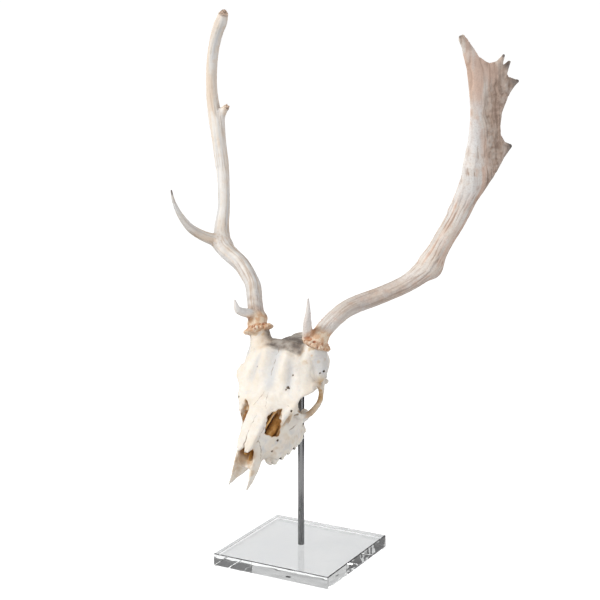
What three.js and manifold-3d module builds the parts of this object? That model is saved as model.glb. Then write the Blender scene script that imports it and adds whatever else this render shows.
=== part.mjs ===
// Skull of a fallow deer buck with its antlers, on a steel rod and a clear square base.
// Millimetres, +Z up. The origin is the middle of the base plate's underside.
//
// The bones are modelled in the skull's own frame, which SKULL_POSE sets on the rod:
// "left" is the animal's left, "ahead" is the distance towards the muzzle from the back of
// the condyles, and "up" is the height over the biting plane of the cheek teeth.
// The right antler has lost its palm; the left one keeps a narrow palm with short points.

import * as THREE from 'three';
import { mergeVertices } from 'three/addons/utils/BufferGeometryUtils.js';
import Module from 'manifold-3d';

const wasm = await Module();
wasm.setup();

// ---- driving dimensions ----

const GAP = 0.3;                        // clearance between neighbouring pieces
const SLIVER = 0.03;                    // unevenness that is smoothed off a cut surface
const PLATE_SIDE = 200;
const PLATE_THICKNESS = 20;
const ROD_RADIUS = 5;
const ROD_TOP = 318;                    // height of the rod's upper end, inside the braincase
const ROD_SIDES = 24;

const SKULL_POSE = {
  at: [-2, 55, 286],                    // where the skull's own origin sits
  noseDown: 32,
  leftDown: 7,
  turn: -4,
};

const SKULL_SIDES = 14;                 // corners of a section through the skull
const LIMB_SIDES = 9;                   // corners of a section through an antler or bone bar
const CORONET_SIDES = 22;
const BALL_SIDES = 10;

const ORBIT = {
  left: 53,
  ahead: 110,
  up: 67,
  opening: [27, 23, 21],                // half sizes of the hole through the skull
  ringLeft: 55.5,                       // middle of the ring of bone round the opening
  ringRadius: 24,
  ringBar: 3.2,
  ringSplay: 0.3,                       // turn of the ring outwards to the rear
  ringFoot: 2,                          // extra thickness where the ring meets the brow
};
const PEDICLE = {
  left: 34, ahead: 71, up: 104, radius: 14.5,
  rootBack: 12,                         // start of the pedicle inside the frontal bone
  rootFlare: 6,
  waist: 0.5,                           // extra radius under the coronet
};
const NECK = { left: 43, ahead: 58, up: 118 };  // narrowest place of a pedicle
const CORONET = {
  left: 50, ahead: 49, up: 128, radius: 20, height: 9,
  pearl: 2.2,                           // how far every second corner stands out
  lift: 3,                              // of its middle above the pedicle's end
  levels: [-0.5, -0.2, 0.2, 0.5],       // sections, as a share of the height
  roundness: 1.4,
  waist: 0.62,                          // narrowest section, as a share of the radius
};
const CONDYLE = { left: 12, ahead: 6, up: 36, half: [10, 11, 11] };
const EAR_CAPSULE = { left: 24, ahead: 44, up: 27, half: [10, 14, 12] };
const FORAMEN_MAGNUM = { up: 50, size: [15, 16, 14] };
const TOOTH = { count: 6, first: 181, pitch: 13.4, slit: 0.8, crown: 9, width: 9, widest: 4 };
const TOOTH_ROW = { left: 23.5, flare: 4.6, bend: -0.52 };
const PALATE_HOLLOW = { ahead: 150, size: [34, 160, 32] };
const LACRIMAL_PIT = { left: 49, ahead: 146, up: 64, half: [11, 11, 9] };
const OTHER_SIDE = { left: 60, ahead: 165, up: 55, size: [120, 140, 160] };  // beyond the midline

// Sections along the skull: [ahead, bottom, top, half width low, half width high].
const BRAINCASE = [
  [2, 34, 88, 26, 24], [14, 27, 98, 37, 32], [34, 27, 109, 39, 36], [56, 32, 121, 36, 37],
  [76, 40, 127, 27, 36], [96, 44, 119, 20, 32], [116, 44, 101, 19, 26], [132, 46, 88, 20, 22],
];
const FRONTAL_ROOF = [
  [54, 104, 121, 42, 36], [68, 96, 127, 54, 41], [82, 90, 126, 59, 44], [96, 85, 117, 59, 44],
  [110, 80, 106, 56, 42], [124, 72, 95, 49, 38], [136, 66, 86, 41, 26],
];
const SPHENOID = [[28, 26, 44, 9, 14], [60, 26, 48, 8, 14], [92, 24, 52, 7, 14]];
const MUZZLE = [
  [106, 18, 56, 34, 42], [120, 12, 78, 39, 45], [138, 7, 86, 40, 38], [156, 6, 79, 38, 28],
  [174, 7, 73, 33, 23], [192, 12, 66, 25, 20], [206, 14, 52, 18, 18], [218, 14, 32, 15, 15],
];
const NASAL_CAVITY = [
  [140, 34, 66, 13, 14], [160, 30, 68, 16, 17], [185, 27, 62, 15, 14], [205, 25, 56, 12, 12],
  [232, 22, 60, 11, 11],
];
const NASAL_BONE = [
  [124, 82, 91, 8, 7], [145, 74, 84, 10, 9], [170, 67, 76, 9, 8], [198, 60, 67, 8, 7],
  [221, 51, 55, 5, 4],
];
const NASAL_LEFT = 8;
const NASAL_LEAN = 0.2;

// Bars of bone on the left side: [left, ahead, up, radius].
const NUCHAL_CREST = [
  [-33, 8, 66, 4], [-22, 4, 82, 4.5], [0, 4, 88, 5], [22, 4, 82, 4.5], [33, 8, 66, 4],
];
const BROW_SHELF = [
  [48, 70, 101, 9], [53, 86, 95, 10], [53, 104, 91, 9.5], [49, 122, 84, 8], [44, 136, 74, 5],
];
const PAROCCIPITAL = [[31, 18, 42, 7], [29, 15, 22, 5], [26, 17, 8, 2]];
const PTERYGOID = [[17, 68, 42, 9], [16, 84, 28, 8], [15, 98, 26, 6]];
const ARCH_ROOT = [[30, 44, 56, 11], [46, 50, 57, 9], [56, 60, 59, 6]];
const VACUITY = [[20, 186, 56, 7], [24, 165, 62, 11], [25, 145, 72, 5]];
const PREMAXILLA_BLADE = [
  [18, 186, 46, 4], [18, 206, 34, 8], [16.5, 224, 25, 10], [16, 240, 17, 8], [15, 251, 11, 3],
];
const PALATINE_PRONG = [[7.5, 204, 17, 5], [8, 220, 16, 5.5], [12, 238, 14, 3.5]];
const CHEEK_JOIN = { ahead: 108, up: 42, radius: 5 };  // where the ring, arch and cheek meet
const CHEEK_ARCH = [[59, 90, 46, 5.2], [59, 74, 53, 5], [57, 60, 60, 4.5]];
const CHEEK_FOOT = [[42, 138, 44, 10], [49, 124, 43, 8]];

const BONE = { color: 0xe6dfd2, roughness: 0.62, metalness: 0 };
const PALE_BONE = { color: 0xece7dc, roughness: 0.6, metalness: 0 };
const PEARLED = { color: 0xcfa27c, roughness: 0.75, metalness: 0 };
const ANTLER = { color: 0xd8cdbf, roughness: 0.66, metalness: 0 };
const BROWN_ANTLER = { color: 0xb89d88, roughness: 0.7, metalness: 0 };
const STEEL = { color: 0x8d8f90, roughness: 0.35, metalness: 1 };
const ACRYLIC = { color: 0xf2f5f6, roughness: 0.04, metalness: 0, transparent: true, opacity: 0.35 };

const part = new THREE.Group();
const skull = new THREE.Group();
const degrees = THREE.MathUtils.degToRad;
skull.position.set(...SKULL_POSE.at);
skull.rotation.set(
  degrees(SKULL_POSE.noseDown),
  degrees(SKULL_POSE.leftDown),
  degrees(SKULL_POSE.turn),
  'ZXY',
);
skull.updateMatrix();
part.add(skull);
const standToSkull = skull.matrix.clone().invert();

// A point of the skull's frame, from the words that the dimensions use.
function spot(left, ahead, up) {
  return new THREE.Vector3(left, -ahead, up);
}

// A point of the stand's frame, in the skull's.
function standSpot(x, y, z) {
  return new THREE.Vector3(x, y, z).applyMatrix4(standToSkull);
}

// ---- closed solids ----

function solidOf(geometry) {
  const bare = geometry.clone();
  bare.deleteAttribute('normal');
  bare.deleteAttribute('uv');
  const merged = mergeVertices(bare, 1e-4);
  const vertProperties = new Float32Array(merged.attributes.position.array);
  const triVerts = new Uint32Array(merged.index.array);
  return new wasm.Manifold(new wasm.Mesh({ numProp: 3, vertProperties, triVerts }));
}

function signedVolume(points, faces) {
  let sum = 0;
  for (let i = 0; i < faces.length; i += 3) {
    const [a, b, c] = [points[faces[i]], points[faces[i + 1]], points[faces[i + 2]]];
    sum += a.dot(b.clone().cross(c)) / 6;
  }
  return sum;
}

// A solid through rings of the same number of points, closed by a flat fan at each end.
function ringSolid(rings) {
  const sides = rings[0].length;
  const points = rings.flat();
  const faces = [];
  for (let ring = 0; ring < rings.length - 1; ring += 1) {
    for (let side = 0; side < sides; side += 1) {
      const next = (side + 1) % sides;
      const low = ring * sides;
      const high = low + sides;
      faces.push(low + side, low + next, high + next);
      faces.push(low + side, high + next, high + side);
    }
  }
  const capRing = (start, flip) => {
    const middle = new THREE.Vector3();
    for (let side = 0; side < sides; side += 1) {
      middle.addScaledVector(points[start + side], 1 / sides);
    }
    points.push(middle);
    for (let side = 0; side < sides; side += 1) {
      const edge = [start + (side + 1) % sides, start + side];
      if (flip) edge.reverse();
      faces.push(points.length - 1, ...edge);
    }
  };
  capRing(0, false);
  capRing((rings.length - 1) * sides, true);
  if (signedVolume(points, faces) < 0) faces.reverse();
  const geometry = new THREE.BufferGeometry();
  const flat = points.flatMap((point) => point.toArray());
  geometry.setAttribute('position', new THREE.Float32BufferAttribute(flat, 3));
  geometry.setIndex(faces);
  return solidOf(geometry);
}

// Rows of numbers, evenly resampled along a smooth curve through them.
function smoothRows(rows, count) {
  const samples = [];
  for (let i = 0; i < count; i += 1) {
    const t = (i / (count - 1)) * (rows.length - 1);
    const k = Math.min(Math.floor(t), rows.length - 2);
    const f = t - k;
    const before = rows[Math.max(k - 1, 0)];
    const after = rows[Math.min(k + 2, rows.length - 1)];
    samples.push(rows[k].map((start, j) => {
      const end = rows[k + 1][j];
      const slopeIn = (end - before[j]) / 2;
      const slopeOut = (after[j] - start) / 2;
      const bend = 3 * (end - start) - 2 * slopeIn - slopeOut;
      const twist = 2 * (start - end) + slopeIn + slopeOut;
      return start + slopeIn * f + bend * f * f + twist * f * f * f;
    }));
  }
  return samples;
}

// A bone lofted along the skull from rows of [ahead, bottom, top, half width low, half width high].
// "left" moves it off the midline, and "lean" tilts its section outwards, per unit of height.
function loft(rows, { steps = 12, square = 2.4, left = 0, lean = 0, grow = 0 } = {}) {
  const samples = smoothRows(rows, steps);
  const rings = samples.map(([ahead, bottom, top, low, high], i) => {
    let reach = 0;
    if (i === 0) reach = ahead > samples[1][0] ? grow : -grow;
    if (i === steps - 1) reach = ahead > samples[steps - 2][0] ? grow : -grow;
    const middle = (bottom + top) / 2;
    const half = (top - bottom) / 2 + grow;
    const ring = [];
    for (let side = 0; side < SKULL_SIDES; side += 1) {
      const angle = (side / SKULL_SIDES) * 2 * Math.PI;
      const across = Math.sign(Math.cos(angle)) * Math.abs(Math.cos(angle)) ** (2 / square);
      const rise = Math.sign(Math.sin(angle)) * Math.abs(Math.sin(angle)) ** (2 / square);
      const width = THREE.MathUtils.lerp(low, high, (rise + 1) / 2) + grow;
      ring.push(spot(left + across * width + lean * rise * half, ahead + reach, middle + rise * half));
    }
    return ring;
  });
  return ringSolid(rings);
}

// A limb along a smooth route of points [point, radius, thin]. With "wide" the section is an
// ellipse whose long axis lies that way, and "thin" is its short axis over its long one.
function limb(route, { steps = 14, sides = LIMB_SIDES, wide = null, thin = 1, grow = 0 } = {}) {
  const rows = route.map(([point, radius, own = thin]) => [...point.toArray(), radius, own]);
  const samples = smoothRows(rows, steps);
  const centres = samples.map(([x, y, z]) => new THREE.Vector3(x, y, z));
  let across = wide ? wide.clone() : new THREE.Vector3(1, 0.3, -0.2);
  const rings = centres.map((centre, i) => {
    const from = centres[Math.max(i - 1, 0)];
    const to = centres[Math.min(i + 1, steps - 1)];
    const along = to.clone().sub(from).normalize();
    const source = wide ? wide : across;
    across = source.clone().addScaledVector(along, -source.dot(along)).normalize();
    const normal = along.clone().cross(across);
    const [radius, flat] = samples[i].slice(3);
    const start = centre.clone();
    if (i === 0) start.addScaledVector(along, -grow);
    if (i === steps - 1) start.addScaledVector(along, grow);
    const ring = [];
    for (let side = 0; side < sides; side += 1) {
      const angle = (side / sides) * 2 * Math.PI;
      const point = start.clone().addScaledVector(across, Math.cos(angle) * (radius + grow));
      ring.push(point.addScaledVector(normal, Math.sin(angle) * (radius * flat + grow)));
    }
    return ring;
  });
  return ringSolid(rings);
}

function ball(centre, [x, y, z], grow = 0) {
  const geometry = new THREE.SphereGeometry(1, BALL_SIDES, BALL_SIDES - 4);
  geometry.scale(x + grow, y + grow, z + grow);
  geometry.translate(centre.x, centre.y, centre.z);
  return solidOf(geometry);
}

function block(centre, [x, y, z], grow = 0) {
  const geometry = new THREE.BoxGeometry(x + 2 * grow, y + 2 * grow, z + 2 * grow);
  geometry.translate(centre.x, centre.y, centre.z);
  return solidOf(geometry);
}

function joined(solids) {
  return solids.reduce((sum, solid) => sum.add(solid));
}

// ---- bones of the skull ----

const UPRIGHT = new THREE.Vector3(0, 0, 1);
const SIDEWAYS = new THREE.Vector3(1, 0, 0);
const LENGTHWISE = new THREE.Vector3(0, 1, 0);

// A bar of the left side, or its mirror image where "side" is -1.
function boneBar(side, route, options) {
  return limb(route.map(([left, ahead, up, radius]) => [spot(side * left, ahead, up), radius]), options);
}

function boneBall(side, { left, ahead, up, half }, grow) {
  return ball(spot(side * left, ahead, up), half, grow);
}

function orbitOpening(side, grow) {
  return ball(spot(side * ORBIT.left, ORBIT.ahead, ORBIT.up), ORBIT.opening, grow);
}

function pedicle(side, grow) {
  const { left, ahead, up, radius, rootBack, rootFlare, waist } = PEDICLE;
  return limb([
    [spot(side * (left - rootBack / 2), ahead + rootBack, up - rootBack), radius + rootFlare],
    [spot(side * left, ahead, up), radius + rootFlare / 2],
    [spot(side * NECK.left, NECK.ahead, NECK.up), radius],
    [spot(side * CORONET.left, CORONET.ahead, CORONET.up), radius + waist],
  ], { steps: 5, sides: 12, grow });
}

// Braincase, occiput, frontals with their brow shelves, pedicles and the parts beneath.
function cranium(grow) {
  const pieces = [
    loft(BRAINCASE, { steps: 10, grow }),
    loft(FRONTAL_ROOF, { steps: 6, square: 4, grow }),
    loft(SPHENOID, { steps: 5, grow }),
    boneBar(1, NUCHAL_CREST, { steps: 7, sides: 6, grow }),
  ];
  const holes = [block(spot(0, 0, FORAMEN_MAGNUM.up), FORAMEN_MAGNUM.size, -grow)];
  for (const side of [-1, 1]) {
    const browSlope = new THREE.Vector3(1, 0, -0.25 * side);
    pieces.push(boneBar(side, BROW_SHELF, { steps: 7, sides: 8, wide: browSlope, thin: 0.42, grow }));
    pieces.push(pedicle(side, grow));
    pieces.push(boneBall(side, CONDYLE, grow));
    pieces.push(boneBall(side, EAR_CAPSULE, grow));
    pieces.push(boneBar(side, PAROCCIPITAL, { steps: 5, sides: 8, grow }));
    pieces.push(boneBar(side, PTERYGOID, { steps: 5, sides: 8, wide: UPRIGHT, thin: 0.3, grow }));
    pieces.push(boneBar(side, ARCH_ROOT, { steps: 5, sides: 10, wide: LENGTHWISE, thin: 0.6, grow }));
    holes.push(orbitOpening(side, -grow));
  }
  return joined(pieces).subtract(joined(holes));
}

// Everything on the far side of the midline, which a paired bone keeps clear of.
function otherSide(side, grow) {
  const { left, ahead, up, size } = OTHER_SIDE;
  return block(spot(-side * left, ahead, up), size, GAP / 2 - grow);
}

function tooth(side, place, grow) {
  const { left, flare, bend } = TOOTH_ROW;
  const middle = spot(
    side * (left + flare * place + bend * place * place),
    TOOTH.first - place * TOOTH.pitch,
    TOOTH.crown,
  );
  const width = TOOTH.width + Math.min(place, TOOTH.widest);
  return block(middle, [width, TOOTH.pitch - TOOTH.slit, 2 * TOOTH.crown], grow);
}

// One maxilla with its lacrimal, half of the palate and six cheek teeth.
function maxilla(side, grow) {
  const pieces = [loft(MUZZLE, { steps: 10, square: 2.8, grow })];
  for (let place = 0; place < TOOTH.count; place += 1) {
    pieces.push(tooth(side, place, grow));
  }
  const cuts = [
    loft(NASAL_CAVITY, { steps: 5, square: 3, grow: -grow }),
    otherSide(side, grow),
    orbitOpening(side, -grow),
    boneBar(side, VACUITY, { steps: 5, sides: 8, grow: -grow }),
    boneBall(side, LACRIMAL_PIT, -grow),
    block(spot(0, PALATE_HOLLOW.ahead, 0), PALATE_HOLLOW.size, -grow),
  ];
  return joined(pieces).subtract(joined(cuts));
}

function nasal(side, grow) {
  const bone = loft(NASAL_BONE, { steps: 6, left: side * NASAL_LEFT, lean: -side * NASAL_LEAN, grow });
  return bone.subtract(otherSide(side, grow));
}

// Blade of the premaxilla, with the thin palatine prong beside the incisive notch.
function premaxilla(side, grow) {
  const slope = new THREE.Vector3(0.62 * side, 0, 0.78);
  return joined([
    boneBar(side, PREMAXILLA_BLADE, { steps: 7, sides: 8, wide: slope, thin: 0.26, grow }),
    boneBar(side, PALATINE_PRONG, { steps: 4, sides: 7, wide: SIDEWAYS, thin: 0.4, grow }),
  ]);
}

// Cheek bone: the orbit's lower rim, the bar behind the orbit, and the arch to the braincase.
function zygomatic(side, grow) {
  const ringRow = (ahead, up, radius) => {
    const left = ORBIT.ringLeft + ORBIT.ringSplay * (ORBIT.ahead - ahead);
    return [left, ahead, up, radius];
  };
  const ring = [];
  for (let step = 0; step <= 7; step += 1) {
    const angle = -Math.PI * (0.15 + step * 0.145);
    const ahead = ORBIT.ahead + ORBIT.ringRadius * Math.cos(angle);
    const up = ORBIT.up + ORBIT.ringRadius * Math.sin(angle);
    ring.push(ringRow(ahead, up, ORBIT.ringBar + (step === 7 ? ORBIT.ringFoot : 0)));
  }
  const join = ringRow(CHEEK_JOIN.ahead, CHEEK_JOIN.up, CHEEK_JOIN.radius);
  const flat = { sides: 7, wide: UPRIGHT, grow };
  return joined([
    boneBar(side, ring, { steps: 10, sides: 7, wide: SIDEWAYS, thin: 0.85, grow }),
    boneBar(side, [join, ...CHEEK_ARCH], { ...flat, steps: 5, thin: 0.55 }),
    boneBar(side, [...CHEEK_FOOT, join], { ...flat, steps: 4, thin: 0.7 }),
  ]);
}

// ---- antlers: routes in the stand's frame, as [x, y, z, radius] ----

function antlerLimb(route, options) {
  return limb(route.map(([x, y, z, radius]) => [standSpot(x, y, z), radius]), options);
}

function standAxis(x, y, z) {
  return new THREE.Vector3(x, y, z).transformDirection(standToSkull);
}

// Pearled ring round the foot of an antler.
function coronet(side, grow) {
  const centre = spot(side * CORONET.left, CORONET.ahead, CORONET.up);
  const axis = centre.clone().sub(spot(side * NECK.left, NECK.ahead, NECK.up)).normalize();
  const across = LENGTHWISE.clone().cross(axis).normalize();
  const normal = axis.clone().cross(across);
  const rings = CORONET.levels.map((level) => {
    const bulge = Math.sqrt(1 - (CORONET.roundness * level) ** 2);
    const share = CORONET.waist + (1 - CORONET.waist) * bulge;
    const height = CORONET.height * level + Math.sign(level) * grow;
    const ring = [];
    for (let step = 0; step < CORONET_SIDES; step += 1) {
      const angle = (step / CORONET_SIDES) * 2 * Math.PI;
      const pearl = step % 2 ? CORONET.pearl : 0;
      const radius = (CORONET.radius + pearl) * share + grow;
      const point = centre.clone().addScaledVector(axis, CORONET.lift + height);
      point.addScaledVector(across, radius * Math.cos(angle));
      ring.push(point.addScaledVector(normal, radius * Math.sin(angle)));
    }
    return ring;
  });
  return ringSolid(rings);
}

const LEFT_LOWER = [
  [56, -55, 362, 14.5], [63, -46, 382, 12.9], [77, -14, 405, 13], [107, 33, 421, 13.1],
  [146, 63, 441, 13.8], [168, 75, 460, 16.8],
];
const LEFT_UPPER = [
  [166, 74, 458, 16.8], [177, 79, 473, 17.6], [195, 87, 508, 15.3], [221, 91, 558, 16.3],
  [250, 88, 621, 22],
];
const LEFT_BROW = [[44, -59, 371, 8.6], [50, -73, 396, 6.2], [56, -81, 418, 3.6], [58, -85, 436, 1.4]];

const RIGHT_LOWER = [
  [-44, -55, 374, 14.5], [-50, -48, 388, 12.6], [-59, -38, 408, 11.8], [-87, -3, 436, 12],
  [-138, 28, 464, 12.8], [-162, 44, 472, 14],
];
const RIGHT_UPPER = [
  [-160, 42, 471, 14], [-178, 58, 485, 13.6], [-181, 73, 527, 9.9], [-190, 85, 594, 10.2],
  [-205, 92, 663, 11.6], [-212, 91, 716, 8.6], [-204, 82, 778, 8.7], [-180, 69, 825, 9.6],
  [-172, 65, 840, 8],
];
const RIGHT_TREZ = [
  [-164, 48, 474, 12], [-183, 44, 484, 9.8], [-203, 4, 509, 6.7], [-215, -20, 551, 3.1],
  [-216, -25, 569, 1.4],
];
const RIGHT_BROW = [
  [-49, -46, 392, 9], [-57, -62, 398, 7.2], [-63, -81, 406, 5.6], [-65, -87, 422, 1.4],
];
const RIGHT_SNAG = [[-207, 92, 676, 7], [-197, 94, 684, 5.5], [-188, 96, 689, 4]];

// The palm lies in a plane of its own: u runs across it to the rear, v up along it.
const PALM = {
  at: standSpot(250, 88, 620),
  across: standAxis(0.552, 0.833, 0.05),
  along: standAxis(0.093, -0.121, 0.988),
  thickness: 30,
};
// Outline of the palm's blade [u, v], from its foot up the front edge and down the rear points.
const PALM_OUTLINE = [
  [-24, 2], [-18, 44], [-16, 70], [-18, 106], [-22, 132], [-26, 158], [-14, 163], [-4, 158],
  [7, 153], [17, 155], [25, 163], [27, 162], [27, 149], [36, 154], [38, 152], [33, 142],
  [38, 131], [54, 124], [54, 120], [41, 106], [34, 93], [28, 80], [26, 61], [28, 47], [38, 34],
  [49, 29], [50, 24], [38, 8], [27, -8], [20, -20], [-18, -20],
];
// Long lens that gives the blade its thickness [u, v, radius, flatness].
const PALM_LENS = [[2, -24, 50, 0.3], [8, 40, 58, 0.16], [10, 100, 62, 0.13], [10, 180, 66, 0.09]];
// Ridge along the front edge, which ends in the long upper point [u, v, radius, flatness].
const PALM_RIDGE = [
  [-8, -4, 15, 0.9], [-10, 44, 11, 0.9], [-9, 80, 11, 0.9], [-14, 120, 11, 0.9],
  [-21, 150, 10.5, 0.9], [-34, 177, 8, 0.9], [-46, 195, 4, 0.9],
];

function palmSpot(u, v) {
  return PALM.at.clone().addScaledVector(PALM.across, u).addScaledVector(PALM.along, v);
}

// The outline, cut out of a long lens that thins towards its edges and its upper end.
function palm(grow) {
  const outline = new THREE.Shape(PALM_OUTLINE.map(([u, v]) => new THREE.Vector2(u, v)));
  const sheet = new THREE.ExtrudeGeometry(outline, {
    depth: PALM.thickness,
    bevelEnabled: grow > 0,
    bevelSegments: 1,
    bevelSize: grow,
    bevelThickness: grow,
  });
  sheet.translate(0, 0, -PALM.thickness / 2);
  const normal = PALM.across.clone().cross(PALM.along);
  const place = new THREE.Matrix4().makeBasis(PALM.across, PALM.along, normal);
  sheet.applyMatrix4(place.setPosition(PALM.at));
  const route = (rows) => rows.map(([u, v, radius, flat]) => [palmSpot(u, v), radius, flat]);
  const lens = limb(route(PALM_LENS), { steps: 5, sides: 14, wide: PALM.across, grow });
  const ridge = limb(route(PALM_RIDGE), { steps: 9, sides: 8, wide: PALM.across, grow });
  return solidOf(sheet).intersect(lens).add(ridge);
}

// ---- stand ----

function rod(grow) {
  const height = ROD_TOP - PLATE_THICKNESS;
  const geometry = new THREE.CylinderGeometry(
    ROD_RADIUS + grow,
    ROD_RADIUS + grow,
    height + 2 * grow,
    ROD_SIDES,
  );
  geometry.rotateX(Math.PI / 2);
  geometry.translate(0, 0, PLATE_THICKNESS + GAP + height / 2);
  return geometry;
}

// ---- the scene graph ----

// Outline faces of a solid's largest body, which leaves out slivers that a cut set free.
function meshGeometry(solid) {
  const { vertProperties, triVerts, numProp } = solid.getMesh();
  const corners = [];
  for (let i = 0; i < vertProperties.length; i += numProp) {
    corners.push(vertProperties[i], vertProperties[i + 1], vertProperties[i + 2]);
  }
  const owner = Array.from({ length: corners.length / 3 }, (_, i) => i);
  const root = (i) => {
    let top = i;
    while (owner[top] !== top) top = owner[top];
    owner[i] = top;
    return top;
  };
  for (let i = 0; i < triVerts.length; i += 3) {
    owner[root(triVerts[i + 1])] = root(triVerts[i]);
    owner[root(triVerts[i + 2])] = root(triVerts[i]);
  }
  const sizes = new Map();
  for (const vertex of triVerts) sizes.set(root(vertex), (sizes.get(root(vertex)) || 0) + 1);
  const largest = [...sizes].sort((a, b) => b[1] - a[1])[0][0];
  const faces = [];
  for (let i = 0; i < triVerts.length; i += 3) {
    if (root(triVerts[i]) === largest) faces.push(triVerts[i], triVerts[i + 1], triVerts[i + 2]);
  }
  const geometry = new THREE.BufferGeometry();
  geometry.setAttribute('position', new THREE.Float32BufferAttribute(corners, 3));
  geometry.setIndex(faces);
  return geometry;
}

function addMesh(group, name, geometry, look) {
  const mesh = new THREE.Mesh(geometry, new THREE.MeshStandardMaterial(look));
  mesh.name = name;
  group.add(mesh);
}

const rodCutter = solidOf(rod(GAP).applyMatrix4(standToSkull));
const built = new Map();

// A bone or antler piece, less the named neighbours that were built before it.
function addBone(name, look, make, neighbours = []) {
  let solid = make(0);
  for (const neighbour of neighbours) solid = solid.subtract(built.get(neighbour)(GAP));
  solid = solid.simplify(SLIVER);
  built.set(name, make);
  addMesh(skull, name, meshGeometry(solid), look);
}

addMesh(part, 'stand_base', new THREE.BoxGeometry(PLATE_SIDE, PLATE_SIDE, PLATE_THICKNESS), ACRYLIC);
part.children.at(-1).position.z = PLATE_THICKNESS / 2;
addMesh(part, 'stand_rod', rod(0), STEEL);

addBone('cranium', BONE, (grow) => cranium(grow).subtract(rodCutter));
for (const [word, side] of [['left', 1], ['right', -1]]) {
  addBone(`nasal_${word}`, BONE, (grow) => nasal(side, grow), ['cranium']);
  addBone(`maxilla_${word}`, BONE, (grow) => maxilla(side, grow), ['cranium', `nasal_${word}`]);
  const face = ['cranium', `nasal_${word}`, `maxilla_${word}`];
  addBone(`premaxilla_${word}`, PALE_BONE, (grow) => premaxilla(side, grow), face);
  addBone(`zygomatic_${word}`, BONE, (grow) => zygomatic(side, grow), face);
  addBone(`antler_${word}_coronet`, PEARLED, (grow) => coronet(side, grow), ['cranium']);
}

addBone('antler_left_lower_beam', ANTLER, (grow) => antlerLimb(LEFT_LOWER, { steps: 14, grow }),
  ['cranium', 'antler_left_coronet']);
addBone('antler_left_brow_tine', ANTLER,
  (grow) => antlerLimb(LEFT_BROW, { steps: 7, sides: 8, grow }),
  ['cranium', 'antler_left_coronet', 'antler_left_lower_beam']);
addBone('antler_left_upper_beam', BROWN_ANTLER,
  (grow) => antlerLimb(LEFT_UPPER, { steps: 12, wide: PALM.across, thin: 0.85, grow }),
  ['antler_left_lower_beam']);
addBone('antler_left_palm', BROWN_ANTLER, (grow) => palm(grow), ['antler_left_upper_beam']);

addBone('antler_right_lower_beam', ANTLER, (grow) => antlerLimb(RIGHT_LOWER, { steps: 14, grow }),
  ['cranium', 'antler_right_coronet']);
addBone('antler_right_brow_tine', ANTLER,
  (grow) => antlerLimb(RIGHT_BROW, { steps: 7, sides: 8, grow }),
  ['cranium', 'antler_right_coronet', 'antler_right_lower_beam']);
addBone('antler_right_upper_beam', ANTLER, (grow) => joined([
  antlerLimb(RIGHT_UPPER, { steps: 17, grow }),
  antlerLimb(RIGHT_SNAG, { steps: 3, sides: 7, grow }),
]), ['antler_right_lower_beam']);
addBone('antler_right_trez_tine', ANTLER,
  (grow) => antlerLimb(RIGHT_TREZ, { steps: 10, sides: 10, grow }),
  ['antler_right_lower_beam', 'antler_right_upper_beam']);

export default part;
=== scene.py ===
import itertools
import math

import bpy
import numpy as np
import openvdb
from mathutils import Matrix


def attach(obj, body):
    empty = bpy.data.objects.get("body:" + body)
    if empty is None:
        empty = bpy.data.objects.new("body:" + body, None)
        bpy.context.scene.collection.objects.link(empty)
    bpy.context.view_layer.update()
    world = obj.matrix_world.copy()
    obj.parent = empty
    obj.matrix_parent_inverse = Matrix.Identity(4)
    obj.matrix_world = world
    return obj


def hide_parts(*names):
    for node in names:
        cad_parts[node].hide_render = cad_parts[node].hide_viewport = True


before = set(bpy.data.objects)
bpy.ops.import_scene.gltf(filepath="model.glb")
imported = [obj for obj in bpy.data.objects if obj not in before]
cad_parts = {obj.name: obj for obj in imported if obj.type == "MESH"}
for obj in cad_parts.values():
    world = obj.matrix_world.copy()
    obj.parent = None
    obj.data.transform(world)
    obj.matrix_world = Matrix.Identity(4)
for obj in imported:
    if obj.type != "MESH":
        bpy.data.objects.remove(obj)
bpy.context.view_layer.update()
MM = 0.001

# ---- small maths

FAR = 1e3  # mm: farther than anything here reaches
BAND = 4.0  # mm of true distance kept on each side of a surface
CHUNK = 28  # samples along one side of a block of the sampled field
VOXEL = 0.95  # mm between samples


def unit(v):
    v = np.asarray(v, float)
    return v / np.linalg.norm(v)


def smooth_rows(rows, steps):
    """Rows of numbers, with steps - 1 smooth ones put between each two."""
    rows = np.asarray(rows, float)
    ends = np.vstack([2 * rows[0] - rows[1], rows, 2 * rows[-1] - rows[-2]])
    out = []
    for i in range(len(rows) - 1):
        a, b, c, d = ends[i : i + 4]
        for t in np.arange(steps) / steps:
            bend = 0.5 * t * t * (2 * a - 5 * b + 4 * c - d)
            out.append(b + 0.5 * t * (c - a) + bend + 0.5 * t**3 * (3 * b - a - 3 * c + d))
    out.append(rows[-1])
    return np.array(out)


def smooth_min(a, b, k):
    h = np.maximum(k - np.abs(a - b), 0.0)
    return np.minimum(a, b) - h * h * (0.25 / k)


def smooth_max(a, b, k):
    return -smooth_min(-a, -b, k)


def ease(a, b, x):
    """0 at a to 1 at b, smooth at both ends."""
    t = np.clip((x - a) / (b - a), 0.0, 1.0)
    return t * t * (3 - 2 * t)


def bump(x, centre, width):
    return np.exp(-(((x - centre) / width) ** 2))


HASH_X, HASH_Y, HASH_Z, HASH_SEED, HASH_MIX = 73856093, 19349663, 83492791, 2654435, 1274126177


def hashed(i, j, k, seed):
    """A number between -1 and 1 that looks random, for a cell of the noise."""
    n = (i * HASH_X) ^ (j * HASH_Y) ^ (k * HASH_Z) ^ (seed * HASH_SEED)
    n = (n ^ (n >> 13)) * HASH_MIX
    n = (n ^ (n >> 16)) & 0xFFFF
    return n / 32767.5 - 1.0


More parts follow.
